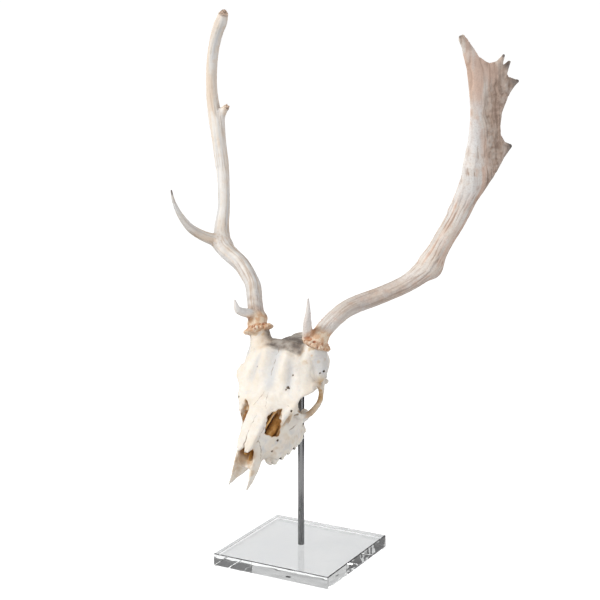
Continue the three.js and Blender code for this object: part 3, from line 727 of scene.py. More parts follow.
# Thick line up the palm, and its points: rows of [u, v, radius].
PALM_RIDGE = [
    (-10, -4, 15), (-11, 20, 12.5), (-11, 44, 11), (-11, 80, 10), (-15, 120, 10), (-22, 150, 9),
    (-34, 175, 6.6), (-45, 193, 3.6),
]
PALM_POINTS = [
    [(14, 130, 7), (22, 150, 4.5), (28.5, 163, 1.8)],
    [(26, 128, 6), (34, 142, 3.8), (39.5, 153, 1.6)],
    [(28, 112, 7), (42, 119, 5), (56, 123.5, 2)],
    [(14, 28, 9), (34, 28, 6.5), (51, 27, 2.4)],
]


def palm_spot(u, v):
    return PALM_AT + u * PALM_ACROSS + v * PALM_ALONG


def palm_route(route):
    return [(*palm_spot(u, v), r) for u, v, r in route]


class Palm(Shape):
    """The antler's blade: its outline, thick at the foot and thin toward the rear edge and the top."""

    def __init__(self):
        spots = [palm_spot(u, v) for u, v in PALM_OUTLINE]
        self.low = np.min(spots, 0) - 28
        self.high = np.max(spots, 0) + 16

    def measure(self, x, y, z, low, high, margin):
        px, py, pz = x - PALM_AT[0], y - PALM_AT[1], z - PALM_AT[2]
        u, v, n = (px * a[0] + py * a[1] + pz * a[2] for a in (PALM_ACROSS, PALM_ALONG, PALM_NORMAL))
        foot = np.clip(-v / 60, 0, 1.3) ** 2
        u = u + 16.6 * foot
        n = n + 17.0 * foot
        edge = outline_distance(PALM_OUTLINE, u, v)
        body = 13.0 - 8.6 * ease(-10, 90, v) - 1.4 * ease(90, 190, v)
        half = body * (1 - 0.25 * ease(-14, 40, u)) * np.sqrt(np.clip(-edge / 9.0, 0.04, 1.0))
        bend = 2.5 * np.sin(v / 34.0) * ease(0, 60, v)
        return smooth_max((np.abs(n - bend) - half) * 0.8, edge, 2.5).astype(np.float32)


PEARLS, DENTS = 23, 15  # in the ring round an antler's foot


def coronet(field, side, rng):
    """The ring of pearls round an antler's foot."""
    centre = to_stand(CORONET * (side, 1, 1))
    axis = unit(centre - to_stand(NECK * (side, 1, 1)) + (-4.0 * (side > 0), 0, 0))
    across = unit(np.cross(axis, (0, 1, 0.2)))
    other = np.cross(axis, across)


    def around(step, count):
        """Outward and sideways directions at one of several steps round the ring."""
        angle = 2 * math.pi * step / count
        out = math.cos(angle) * across + math.sin(angle) * other
        return out, -math.sin(angle) * across + math.cos(angle) * other

    for i in range(PEARLS):
        out, turn = around(i + rng.uniform(-0.25, 0.25), PEARLS)
        size = rng.uniform(2.9, 4.3)
        reach = 18.4 + rng.uniform(-0.8, 1.2)
        spot = centre + reach * out + rng.uniform(-0.8, 1.6) * axis
        field.add(Oval(spot, (size * 1.25, size * 0.95, size * 0.9), axes=(out, turn, axis)), 1.0)
        if i % 2:
            small = centre + (reach - 2.5) * out + (3.4 + rng.uniform(-0.6, 1.4)) * axis
            field.add(Oval(small, (2.4, 1.8, 2.2), axes=(out, turn, axis)), 1.2)
    ring = [(*(centre + 15.4 * around(i, 16)[0]), 3.6) for i in range(17)]
    field.add(Limb(ring, steps=2), 2.0)
    foot, top = centre - 4.0 * axis, centre + 9 * axis
    field.add(Limb([(*foot, 13.6), (*centre, 15.2), (*top, 14.4)]), 2.5)
    for i in range(DENTS):
        out, _ = around(i + rng.uniform(-0.3, 0.3), DENTS)
        dent = centre + 16.6 * out + rng.uniform(4.2, 7.5) * axis
        field.cut(Oval(dent, (1.9, 1.4, 2.0), axes=(out, np.cross(axis, out), axis)), 1.4)
    field.cut(Oval(centre - 15 * axis, (26, 26, 12.4), axes=(across, other, axis)), 0.8)


def build_left_antler():
    rng = np.random.default_rng(11)
    antler = Field()
    antler.add(Limb(LEFT_LOWER, steps=3), 1)
    antler.add(Limb(LEFT_BROW, steps=4), 6)
    antler.add(Oval((182.5, 81, 466), (12, 12, 14)), 13)
    antler.add(Palm(), 9)
    ridge = [(226, 91, 570, 13), (236, 88, 593, 14.5), *palm_route(PALM_RIDGE)]
    antler.add(Limb(ridge, steps=3, flat=PALM_NORMAL, thin=0.78), 6)
    for point in PALM_POINTS:
        antler.add(Limb(palm_route(point), steps=3, flat=PALM_NORMAL, thin=0.6), 3)
    coronet(antler, 1, rng)
    return antler


def build_right_antler():
    rng = np.random.default_rng(23)
    antler = Field()
    antler.add(Limb(RIGHT_LOWER, steps=3), 1)
    antler.add(Limb(RIGHT_BROW, steps=4), 5)
    antler.add(Limb(RIGHT_TREZ, steps=4), 8)
    antler.add(Limb(RIGHT_SNAG, steps=4), 4)
    # the two broken ends
    tip, snag = np.array((-171.0, 64.0, 843.0)), np.array((-185.0, 97.0, 692.0))
    for _ in range(7):
        antler.cut(Oval(tip + rng.uniform(-5, 5, 3), (5.2, 4.2, 4.6)), 0.8)
        antler.cut(Oval(snag + rng.uniform(-2.5, 2.5, 3), (3.0, 2.6, 2.8)), 0.8)
    coronet(antler, -1, rng)
    return antler


# ---- surface relief and the numbers that colour it


def limb_frame(p, route):
    """For each point: its place along a route, its offsets on two axes, and its distance to the skin."""
    rows = smooth_rows(route, 4)
    a, b = rows[:-1], rows[1:]
    run = np.r_[0, np.cumsum(np.linalg.norm(b[:, :3] - a[:, :3], axis=1))]
    best = np.full(len(p), FAR)
    out = np.zeros((len(p), 3))
    side = unit(np.cross(b[0, :3] - a[0, :3], (0.3, 1, 0.2)))
    for i in range(len(a)):
        way = b[i, :3] - a[i, :3]
        length = np.linalg.norm(way)
        way = way / length
        side = unit(side - (side @ way) * way)
        other = np.cross(way, side)
        q = p - a[i, :3]
        t = np.clip(q @ way / length, 0, 1)
        q = q - np.outer(t * length, way)
        d = np.linalg.norm(q, axis=1) - (a[i, 3] + t * (b[i, 3] - a[i, 3]))
        near = d < best
        best[near] = d[near]
        out[near] = np.stack([run[i] + t * length, q @ side, q @ other], 1)[near]
    return (*out.T, best)


def streaks(p, routes, seed):
    """Lengthwise grooves: noise that is fine round each limb and long along it, mixed where limbs meet."""
    broad = np.zeros(len(p))
    fine = np.zeros(len(p))
    weight = np.full(len(p), 1e-6)
    for n, route in enumerate(routes):
        along, u, v, depth = limb_frame(p, route)
        w = np.exp(-np.clip(depth, -2, 30) / 1.5)
        q = np.stack([u / 5.6, v / 5.6, along / 90], 1)
        broad += w * fractal(q + 31.7 * n, 2, seed)
        q = np.stack([u / 1.9, v / 1.9, along / 44], 1)
        fine += w * fractal(q + 57.1 * n, 2, seed + 5)
        weight += w
    return broad / weight, fine / weight


def shut_in(field, points, normals, reach):
    """0 on open surfaces to 1 in hollows and creases, from how fast the field opens up above the surface."""
    total = 0.0
    for step, share in ((reach * 0.35, 0.4), (reach, 0.6)):
        total = total + share * np.clip(1 - field.at_points(points + normals * step) / step, 0, 1)
    return total


def strongest(*masks):
    """The greatest of several masks at each point."""
    return np.maximum.reduce(masks)


def near_spots(points, spots, full, wander=0.0):
    """0 beyond the reach of each spot to 1 at a share of its reach, full."""
    mask = np.zeros(len(points))
    for spot, reach in spots:
        away = np.linalg.norm(points - np.array(spot), axis=1)
        mask = np.maximum(mask, ease(reach, reach * full, away + wander))
    return mask


# ---- materials

SPAN_INPUTS = ("Value", "From Min", "From Max", "To Min", "To Max")
MIX_SHARE, MIX_FIRST, MIX_SECOND, MIX_RESULT = 0, 6, 7, 2  # sockets of a Mix node set to colours


class Look:
    """A material built from nodes, with the part's own coordinates in metres."""

    def __init__(self, name, roughness=0.5, metallic=0.0):
        self.material = bpy.data.materials.new(name)
        self.material.use_nodes = True
        self.tree = self.material.node_tree
        self.shader = self.tree.nodes["Principled BSDF"]
        self.set("Roughness", roughness)
        self.set("Metallic", metallic)
        self.spot = self.node("TexCoord").outputs["Object"]

    def plug(self, socket, value):
        if isinstance(value, bpy.types.NodeSocket):
            self.tree.links.new(value, socket)
        else:
            socket.default_value = value

    def set(self, name, value):
        """Give an input of the shader a value or a link."""
        self.plug(self.shader.inputs[name], value)

    def node(self, kind, **inputs):
        """A new node, with some of its inputs given a value or a link."""
        node = self.tree.nodes.new("ShaderNode" + kind)
        for name, value in inputs.items():
            self.plug(node.inputs[name], value)
        return node

    def attribute(self, name):
        node = self.node("Attribute")
        node.attribute_name = name
        return node.outputs["Fac"]

    def noise(self, scale, detail, roughness=0.55, stretch=None):
        place = self.spot
        if stretch:
            place = self.node("Mapping", Scale=stretch, Vector=place).outputs["Vector"]
        node = self.node("TexNoise", Scale=scale, Detail=detail, Roughness=roughness, Vector=place)
        return node.outputs["Fac"]

    def span(self, value, low, high, to_low=0.0, to_high=1.0):
        node = self.node("MapRange")
        node.interpolation_type = "SMOOTHSTEP"
        for key, v in zip(SPAN_INPUTS, (value, low, high, to_low, to_high)):
            self.plug(node.inputs[key], v)
        return node.outputs["Result"]

    def math(self, kind, a, b):
        node = self.node("Math")
        node.operation = kind
        node.use_clamp = kind == "SUBTRACT"
        self.plug(node.inputs[0], a)
        self.plug(node.inputs[1], b)
        return node.outputs[0]

    def times(self, a, b):
        return self.math("MULTIPLY", a, b)

    def mix(self, share, a, b):
        node = self.node("Mix")
        node.data_type = "RGBA"
        self.plug(node.inputs[MIX_SHARE], share)
        self.plug(node.inputs[MIX_FIRST], (*a, 1) if isinstance(a, tuple) else a)
        self.plug(node.inputs[MIX_SECOND], (*b, 1) if isinstance(b, tuple) else b)
        return node.outputs[MIX_RESULT]

    def fade(self, value, low, high, a, b, most=1.0):
        """Colour a where the value is low, and b, or most of it, where the value is high."""
        return self.mix(self.span(value, low, high, 0.0, most), a, b)

    def relief(self, *layers):
        """Bump from layers of (height, distance in metres)."""
        normal = None
        for height, distance in layers:
            node = self.node("Bump", Distance=distance, Height=height)
            if normal:
                self.plug(node.inputs["Normal"], normal)
            normal = node.outputs["Normal"]
        self.set("Normal", normal)


def bone_look():
    tan, cream = (0.83, 0.755, 0.655), (0.87, 0.82, 0.745)
    ochre, painted_shade_grey = (0.80, 0.69, 0.55), (0.50, 0.46, 0.42)
    ash, painted_shade_blue = (0.66, 0.67, 0.69), (0.56, 0.575, 0.60)
    umber, amber = (0.50, 0.30, 0.13), (0.64, 0.44, 0.22)
    soot, mud = (0.17, 0.14, 0.12), (0.34, 0.285, 0.235)
    rust, honey = (0.46, 0.21, 0.045), (0.82, 0.50, 0.17)
    crease, dark = (0.30, 0.22, 0.155), (0.04, 0.03, 0.025)
    enamel, worn = (0.80, 0.76, 0.66), (0.10, 0.07, 0.045)
    look = Look("bone")
    cloud = look.noise(38, 4)
    patch = look.noise(85, 4)
    speck = look.noise(900, 3, 0.7)
    shade = look.attribute("shade")
    crown = look.attribute("crown")
    c = look.fade(cloud, 0.38, 0.62, tan, cream)
    c = look.fade(patch, 0.50, 0.75, c, ochre, 0.4)
    c = look.fade(patch, 0.46, 0.28, c, ash, 0.4)
    # painted shade: greyer in hollows and creases, by how shut in the surface is
    c = look.mix(look.times(shade, 0.62), c, painted_shade_grey)
    # painted shade, bluish: in the forehead's valley and grooves, low on the skull and behind the orbits
    c = look.mix(look.times(look.attribute("painted_cool_shade"), 0.7), c, painted_shade_blue)
    # brown stains, with painted shade among them in hollows and on the inner side of the right pedicle
    stain = look.times(look.attribute("stain"), look.span(patch, 0.3, 0.6, 0.55, 1.0))
    c = look.mix(stain, c, look.fade(cloud, 0.4, 0.6, umber, amber))
    # dark patch between and behind the pedicles: partly a stain, partly painted shade
    dark_stain_and_shade = look.times(look.attribute("dark_stain_and_shade"), look.span(patch, 0.3, 0.62, 0.6, 1.0))
    c = look.mix(dark_stain_and_shade, c, look.fade(cloud, 0.42, 0.58, soot, mud))
    c = look.mix(look.attribute("inner"), c, look.fade(patch, 0.35, 0.65, rust, honey))
    seam = look.times(look.span(look.attribute("seam"), 0.95, 0.35), look.span(patch, 0.34, 0.56, 0.35, 0.8))
    c = look.mix(seam, c, crease)
    # tooth crowns: enamel, near black where shut in: stain in their crevices, partly painted shade
    c = look.mix(crown, c, look.fade(shade, 0.25, 0.6, enamel, worn))
    # painted shade: near black inside the small openings
    look.set("Base Color", look.mix(look.attribute("pit"), c, dark))
    dull = look.span(speck, 0.3, 0.7, 0.5, 0.66)
    look.set("Roughness", look.math("SUBTRACT", dull, look.times(crown, 0.3)))
    look.relief((look.noise(260, 4, 0.6), 0.0007), (speck, 0.00022))
    look.set("Subsurface Weight", 0.06)
    look.set("Subsurface Radius", (0.004, 0.0025, 0.0015))
    look.set("Specular IOR Level", 0.4)
    return look.material


def antler_look(name, brown):
    if brown:
        base, light, warm = (0.74, 0.66, 0.58), (0.80, 0.75, 0.70), (0.72, 0.51, 0.405)
        crease, cold = (0.38, 0.24, 0.17), 0.4
    else:
        base, light, warm = (0.73, 0.68, 0.615), (0.79, 0.76, 0.725), (0.74, 0.61, 0.49)
        crease, cold = (0.50, 0.37, 0.27), 0.65
    grey, chalk = (0.60, 0.61, 0.62), (0.83, 0.82, 0.81)
    grain, shadow = (0.42, 0.30, 0.235), (0.36, 0.25, 0.18)
    tan, umber, coffee = (0.50, 0.365, 0.285), (0.29, 0.20, 0.155), (0.19, 0.13, 0.10)
    soot, mud = (0.12, 0.105, 0.10), (0.27, 0.225, 0.19)
    sand, rust, copper = (0.80, 0.66, 0.50), (0.40, 0.15, 0.07), (0.62, 0.36, 0.20)
    spongy, torn = (0.23, 0.16, 0.12), (0.62, 0.46, 0.35)
    look = Look(name)
    cloud = look.noise(30, 4)
    patch = look.noise(95, 4)
    speck = look.noise(1000, 3, 0.7)
    stripe, groove, shade = (look.attribute(key) for key in ("stripe", "groove", "shade"))
    c = look.fade(cloud, 0.36, 0.62, base, light)
    c = look.fade(stripe, 0.46, 0.80, c, warm, 0.85)
    c = look.fade(patch, 0.50, 0.70, c, warm, 0.5)
    c = look.fade(stripe, 0.45, 0.15, c, grey, cold)
    c = look.mix(look.times(look.span(groove, 0.5, 0.85), look.attribute("strong")), c, crease)
    mottle = look.fade(look.noise(170, 5, 0.62), 0.40, 0.62, tan, umber)
    mottle = look.fade(groove, 0.35, 0.75, mottle, coffee, 0.6)
    # brown mottling, which on the left antler's lower beam is painted shade
    c = look.mix(look.times(look.attribute("brown"), look.span(patch, 0.3, 0.6, 0.6, 1.0)), c, mottle)
    c = look.mix(look.times(look.attribute("pale"), 0.75), c, chalk)
    c = look.mix(look.attribute("tip"), c, look.fade(patch, 0.4, 0.6, soot, mud))
    c = look.mix(look.times(shade, 0.6), c, shadow)
    # the coronet: sand-coloured, turning brown where shut in: painted shade in the gaps between the pearls
    foot = look.fade(shade, 0.12, 0.5, sand, rust)
    c = look.mix(look.attribute("foot"), c, look.fade(patch, 0.40, 0.56, foot, copper, 0.8))
    c = look.mix(look.attribute("broken"), c, look.fade(look.noise(420, 4), 0.42, 0.58, spongy, torn))
    if brown:
        c = look.fade(look.noise(430, 4, 0.7), 0.48, 0.64, c, grain, 0.28)
    look.set("Base Color", c)
    look.set("Roughness", look.span(speck, 0.3, 0.7, 0.42, 0.62))
    look.relief((look.noise(330, 4, 0.6), 0.0006), (speck, 0.0002))
    look.set("Specular IOR Level", 0.35)
    return look.material


def steel_look():
    look = Look("brushed_steel", 0.3, 1.0)
    fine = look.noise(60, 5, 0.7, stretch=(60, 60, 1.2))
    look.set("Base Color", look.fade(fine, 0.3, 0.7, (0.15, 0.15, 0.153), (0.22, 0.22, 0.223)))
    look.set("Roughness", look.span(fine, 0.3, 0.7, 0.20, 0.32))
    look.relief((fine, 0.00004))
    return look.material


def acrylic_look():
    look = Look("clear_acrylic", 0.015)
    look.set("Transmission Weight", 1.0)
    look.set("IOR", 1.49)
    tint, clear = (0.955, 0.97, 0.975), (0.975, 0.985, 0.985)
    look.set("Base Color", look.fade(look.noise(25, 2), 0.4, 0.6, tint, clear))
    look.relief((look.noise(14, 2), 0.0004))
    return look.material


def plain_look(name, scale, dark, light, glow=None):
    """A dull, faintly clouded surface, which shines a little by itself if it has a glow."""
    look = Look(name, 0.9)
    look.set("Base Color", look.mix(look.noise(scale, 2), dark, light))
    if glow:
        look.set("Emission Color", (1, 1, 1, 1))
        look.set("Emission Strength", glow)
        look.set("Specular IOR Level", 0.0)
    return look.material


# ---- the skull's mesh

SEAMS = [
    # between the frontals, between the nasals, and round the front of the frontals
    [(0, 62, 121), (0.6, 80, 127), (-0.5, 100, 111), (0.4, 122, 91)],
    [(0.4, 122, 91), (2.0, 128, 89), (0.8, 150, 82), (-0.8, 180, 72), (-0.4, 214, 60)],
    [(2, 122, 91), (5, 136, 87), (9, 150, 83), (15, 156, 77), (19, 150, 76), (26, 141, 76), (33, 135, 76),
     (41, 137, 76), (48, 135, 72)],
    [(17, 158, 76), (16.5, 172, 70), (16, 190, 63), (15, 206, 56), (13, 218, 54)],
    # lacrimal and cheek bone
    [(34, 160, 61), (37, 157, 52), (41, 152, 45), (46, 142, 42), (50, 130, 42), (54, 118, 40)],
    [(48, 136, 62), (42, 146, 58), (36, 158, 55)],
    # premaxilla on maxilla, crown of the head, cheek arch
    [(16, 196, 58), (19, 200, 45), (19, 208, 32), (17, 212, 20)],
    [(44, 60, 108), (30, 63, 116), (0, 62, 121)],
    [(38, 40, 92), (30, 20, 98), (0, 14, 99)],
    [(61, 92, 50), (61, 84, 47), (60, 76, 50)],
    [(62, 84, 66), (63, 82, 72), (62, 78, 74)],
]
SEAM_REACH = 9.0  # mm: a point farther from every suture counts as this far
MIDDLE = 3  # mm: a suture that stays this near to x = 0 isn't mirrored


def seam_distance(p):
    """Distance to the nearest suture, which wanders a little."""
    wander = np.stack([noise(p / 4.2 + 9.1 * i, 40 + i) for i in range(3)], 1)
    signed = p + 1.2 * wander
    folded_points = signed.copy()
    folded_points[:, 0] = np.abs(p[:, 0]) + 1.1 * wander[:, 0]
    best = np.full(len(p), SEAM_REACH)
    for route in SEAMS:
        rows = smooth_rows(route, 3)
        q = signed if max(abs(spot[0]) for spot in route) < MIDDLE else folded_points
        for a, b in zip(rows[:-1], rows[1:]):
            low, high = np.minimum(a, b) - (70, 6, 12), np.maximum(a, b) + (6, 6, 12)
            near = np.all((p > low) & (p < high), axis=1)
            if not near.any():
                continue
            v = q[near] - a
            way = b - a
            t = np.clip(v @ way / (way @ way), 0, 1)
            d = v - np.outer(t, way)
            d[:, 2] *= 0.2
            best[near] = np.minimum(best[near], np.linalg.norm(d, axis=1))
    return best


def distance_to(shape, p):
    return shape.distance(*p.astype(np.float32).T, p.min(0), p.max(0), FAR)


def inner_mask(x, y, wave, shade, nose, eye, hole):
    """The brown inside of the nose, of the orbits, and behind the openings ahead of them."""
    inside = (1 - ease(-2.0, 2.6, nose + 1.2 * wave)) * ease(126, 140, y)
    inside = inside * (1 - ease(216, 234, y + 4 * wave))
    inside = inside * np.maximum(ease(0.1, 0.5, shade), ease(-0.6, -2.2, nose))
    socket = 0.85 * (1 - ease(0.5, 4.0, eye)) * ease(0.2, 0.6, shade) * (1 - ease(40, 56, x))
    window = ease(1.2, -0.4, hole) * ease(0.15, 0.4, shade) * ease(-12, -3, -np.abs(nose))
    return strongest(inside, socket, window)


def stain_mask(p, wave, shade, nose, eye, hole):
    """Brown stains, each kept to its own place on the skull; the brown in hollows is partly painted shade,
    and on the inner side of the right pedicle it is painted shade.
    """
    x, y, z = np.abs(p[:, 0]), p[:, 1], p[:, 2]
    slit = distance_to(Limb([(42, 140, 72, 2), (38, 154, 58, 2), (36, 160, 51, 1)], mirrored=True), p)
    pedicle = ease(104, 116, z) * (1 - ease(74, 86, y)) * ease(30, 36, x)
    # painted shade on the inner side of the right pedicle
    painted_lee_shade = ease(-48, -34, p[:, 0]) * ease(-14, -24, p[:, 0]) * ease(90, 106, z) * ease(88, 76, y)
    stain = strongest(
        # round the orbit: behind, above and below it
        ease(54, 58, x) * ease(6.5, 2.0, eye + 1.5 * wave) * ease(44, 52, z) * ease(104, 96, y),
        ease(55, 58, x) * bump(z, 84, 9) * bump(y, 84, 8),
        0.8 * ease(5.0, 1.5, eye) * ease(52, 47, z) * ease(34, 40, x),
        # in hollows (brown dirt, and painted shade too), on the premaxillae, and at the edge of the nose
        0.8 * ease(0.55, 0.9, shade + 0.15 * wave),
        0.5 * ease(206, 240, y) * ease(-0.1, 0.6, wave),
        0.55 * ease(204, 214, y) * ease(236, 222, y) * ease(5, 1, np.abs(nose)) * ease(-0.7, 0.3, wave),
        # on the pedicles, on the cheeks, and painted shade on the inner side of the right pedicle
        0.75 * pedicle * ease(0.0, 0.6, wave + 0.5 * ease(40, 33, x)),
        0.3 * ease(0.25, 0.9, wave) * ease(50, 30, z) * ease(16, 30, x),
        0.36 * painted_lee_shade,
        # along the slit ahead of the orbit, and at the edge of the opening beside it
        0.65 * ease(3.5, 0.5, slit + wave),
        0.6 * ease(2.2, 0.3, np.maximum(hole, 0)) * ease(-0.4, 0.3, wave),
    )
    return np.clip(stain, 0, 1)


def dark_stain_and_shade_mask(p, wave):
    """The dark patch between and behind the pedicles: partly a stain, partly painted shade."""
    x, y, z = p.T
    narrower = ease(40, 66, y)
    side = ease(58 - 20 * narrower, 44 - 18 * narrower, np.abs(x - 6))
    return ease(80, 71, y + 3 * wave) * ease(74, 90, z) * side * ease(-16, 2, y)


def painted_cool_shade_mask(x, y, z, wave):
    """Painted bluish shade: in the middle of the forehead, in its grooves, low on the skull, behind the
    orbits.
    """
    painted_cool_shade = strongest(
        bump(x, 0, 9) * ease(66, 82, y) * ease(142, 118, y) * ease(80, 88, z),
        0.8 * bump(x, groove_side(y), 6) * ease(84, 96, y) * ease(128, 112, y) * ease(84, 92, z),
        0.7 * ease(0.0, 0.9, -wave) * ease(70, 40, z) * ease(212, 196, y),
        0.75 * ease(52, 58, x) * ease(80, 88, z) * ease(86, 76, y),
    )
    return np.clip(painted_cool_shade, 0, 1)


def crown_mask(x, y, z, wave):
    """The crowns of the cheek teeth."""
    drop = np.interp(y, [row[0] for row in TEETH[::-1]], [row[2] for row in TEETH[::-1]])
    return ease(4.5, 2.0, z + drop + 0.6 * wave) * ease(16, 18, x) * ease(104, 108, y) * ease(190, 187, y)


def skull_layers(field, p, normals):
    """The numbers that colour the skull."""
    x, y, z = np.abs(p[:, 0]), p[:, 1], p[:, 2]
    wave = fractal(p / 9.0, 3, 70)
    nose, eye, hole = (distance_to(shape, p) for shape in (NOSE, EYE, WINDOW_HOLE))
    shade = shut_in(field, p, normals, 9.0) * (1 - 0.8 * ease(206, 222, y))
    return {
        "shade": shade,
        "inner": inner_mask(x, y, wave, shade, nose, eye, hole),
        "stain": stain_mask(p, wave, shade, nose, eye, hole),
        "dark_stain_and_shade": dark_stain_and_shade_mask(p, wave),
        "painted_cool_shade": painted_cool_shade_mask(x, y, z, wave),
        "crown": crown_mask(x, y, z, wave),
        # painted shade inside the small openings
        "pit": strongest(*(ease(0.5, -0.5, distance_to(pit, p)) for pit in PITS)),
        "seam": seam_distance(p),
    }


CRANIUM, NASAL, MAXILLA, PREMAXILLA, ZYGOMATIC = range(5)
PAIRED = {"nasal": NASAL, "maxilla": MAXILLA, "premaxilla": PREMAXILLA, "zygomatic": ZYGOMATIC}


def bone_of(p):
    """Which bone each point belongs to."""
    x, y, z = np.abs(p[:, 0]), p[:, 1], p[:, 2]
    bone = np.full(len(p), CRANIUM)
    ahead = y > 128 + 0.35 * np.maximum(x - 20, 0) - 12 * (z < 56)
    bone[ahead | ((z < 40) & (y > 104))] = MAXILLA
    bone[ahead & (x < 17.0) & (z > 86.5 - 0.31 * (y - 124) - 9) & (y > 126)] = NASAL
    bone[(y > 224) | ((y > 200) & (z < 52 - 1.3 * (y - 205)))] = PREMAXILLA
    cheek = (x > 44 + 0.5 * np.maximum(y - 128, 0)) & (y > 74) & (y < 150) & (z > 36) & (z < 82)
    bone[cheek] = ZYGOMATIC
    return bone


def make_skull():
    """Nine bones, cut from one continuous surface."""
    field = build_skull()
    points, quads = field.mesh(VOXEL)
    quads = quads[:, ::-1]
    normals, _ = field.gradient(points)
    layers = skull_layers(field, points, normals)
    open_bone = 1 - np.clip(layers["crown"] + layers["shade"], 0, 1)
    relief = 0.30 * fractal(points / 7.0, 3, 3) + 0.10 * fractal(points / 1.9, 2, 9)
    relief -= 0.5 * ease(1.0, 0.2, layers["seam"])
    points = points + normals * (relief * (0.3 + 0.7 * open_bone))[:, None]
    which = np.sort(bone_of(points)[quads], axis=1)[:, 2]
    left = points[quads][:, :, 0].mean(1) > 0
    bones = [("cranium", which == CRANIUM)]
    for name, label in PAIRED.items():
        bones += [(name + "_left", (which == label) & left), (name + "_right", (which == label) & ~left)]
    points, material = to_stand(points), bone_look()
    for name, keep in bones:
        new_piece("bone_" + name, *part_of(points, quads, layers, keep), material, [name], "bone")


make_skull()

# ---- the antlers' meshes

FOOT_REACH = 30  # mm from the middle of the coronet: nearer points are in the foot's piece


def palm_layers(points, stripe, groove, wave):
    """The streaks, the brown, with painted shade on the lower beam, and the pale front edge of the left
    antler, and where its palm is.
    """
    q = points - PALM_AT
    u, v, n = q @ PALM_ACROSS, q @ PALM_ALONG, q @ PALM_NORMAL
    palmate = ease(-15, 45, v)
    fan = (u + 0.10 * v) / (1 + 0.002 * v) + 3.0 * fractal(points / 26.0, 2, 61)
    ribs = fractal(np.stack([fan / 6.5, n / 12, v / 85], 1), 2, 31)
    cuts = fractal(np.stack([fan / 2.2, n / 8, v / 42], 1), 3, 33)
    stripe = stripe * (1 - palmate) + palmate * ribs + 0.35 * ease(95, 140, v) * palmate
    groove = groove * (1 - palmate) + palmate * cuts
    brown = ease(2, 22, u + 9 * wave + 7 + 0.05 * np.clip(-v, 0, 60)) * ease(-100, -40, v)
    brown = brown * (1 - 0.8 * ease(105, 150, v - 0.6 * u))
    brown = strongest(
        brown * np.clip(0.9 + 0.35 * fractal(points / 5.0, 3, 64), 0.45, 1),
        0.4 * ease(450, 520, points[:, 2]) * ease(-0.1, 0.9, wave),
        # painted shade on the low, level part of the beam, carried on the brown layer
        0.5 * bump(points[:, 2], 425, 30) * ease(70, 110, points[:, 0]),
    )
    pale = ease(-5, -13, u + 3 * wave) * ease(-90, -20, v) * ease(120, 80, v) * ease(-0.9, 0.1, wave)
    return stripe, groove, brown, pale, palmate


def make_antler(name, field, routes, palm, slot, material, broken, tips):
    """One antler in two pieces: its foot with the coronet, and all the rest."""
    points, quads = field.mesh(VOXEL)
    normals, _ = field.gradient(points)
    high = points[:, 2]
    wave = fractal(points / 14.0, 3, 80)
    away = np.linalg.norm(points - to_stand(CORONET * (1 if palm else -1, 1, 1)), axis=1)
    tine = ease(1.5, 6, distance_to(Limb(routes[0]), points)) * ease(462, 448, high) * ease(24, 31, away)
    stripe, groove = streaks(points, routes, 21)
    if palm:
        stripe, groove, brown, pale, palmate = palm_layers(points, stripe, groove, wave)
        strong = 0.4 + 0.5 * ease(440, 500, high) - 0.4 * palmate
    else:
        pale = palmate = np.zeros(len(points))
        brown = 0.75 * ease(66, 30, away + 9 * wave) * (1 - tine)
        brown = np.maximum(brown, 0.22 * ease(530, 480, high) * ease(-0.7, 0.5, wave))
        strong = 0.35 + 0.4 * ease(520, 470, high)
    layers = {
        "stripe": np.clip(0.5 + 0.42 * stripe, 0, 1),
        "groove": np.clip(0.5 + 0.42 * groove, 0, 1),
        "shade": shut_in(field, points, normals, 6.0),
        "brown": np.clip(brown, 0, 1),
        "pale": np.maximum(pale, 0.8 * tine),
        "tip": near_spots(points, tips, 0.35, 2 * wave),
        "foot": ease(34, 19, away + 5 * wave) * (1 - 0.8 * tine),
        "broken": near_spots(points, broken, 0.6),
        "strong": strong,
    }
    stripe, groove, pale, foot = (layers[key] for key in ("stripe", "groove", "pale", "foot"))
    deep = 0.55 + 0.5 * brown + 0.3 * palmate
    lift = -deep * ease(0.52, 0.85, groove) + 0.5 * (stripe - 0.5) + 0.2 * fractal(points / 6.0, 2, 5)
    lift *= (1 - 0.7 * pale) * (1 - 0.8 * layers["tip"]) * (1 - 0.6 * foot)
    beads = ease(0.25, 0.75, noise(points / 3.1, 91)) * ease(95, 30, away) * (1 - foot)
    lift = lift + 0.55 * beads + layers["broken"] * 0.9 * noise(points / 1.8, 92)
    points = points + normals * lift[:, None]
    last = "palm" if palm else "trez_tine"
    nodes = [name + "_" + part for part in ("coronet", "lower_beam", "brow_tine", "upper_beam", last)]
    ring = (away < FOOT_REACH)[quads].all(1)
    new_piece(name + "_foot", *part_of(points, quads, layers, ring), material, nodes[:1], "coronet")
    new_piece(name + "_beam", *part_of(points, quads, layers, ~ring), material, nodes[1:], slot)


PALM_TIPS = [
    (palm_spot(-49, 196), 6), (palm_spot(29, 164), 7), (palm_spot(40, 154), 17), (palm_spot(57, 124), 20),
    (palm_spot(53, 27), 18),
]
make_antler(
    "antler_left", build_left_antler(), [LEFT_LOWER[:-3] + palm_route(PALM_RIDGE[1:5]), LEFT_BROW], True,
    "antler_brown", antler_look("antler_brown", True), [], PALM_TIPS,
)
make_antler(
    "antler_right", build_right_antler(), [RIGHT_LOWER, RIGHT_TREZ, RIGHT_BROW], False,
    "antler", antler_look("antler_ivory", False), [((-171, 64, 843), 13), ((-186, 97, 691), 8)],
    [((-216, -25, 571), 12)],
)

# ---- the stand, in mm

PLATE_HALF, PLATE_TOP, PLATE_EDGE = 100, 20, 1.2
ROD_RADIUS, ROD_TOP, ROD_EDGE = 5.0, 318.0, 0.4
ROD_HOLE = 0.3  # radius of the pinhole in the middle of each end of the rod
ROD_SIDES = 64


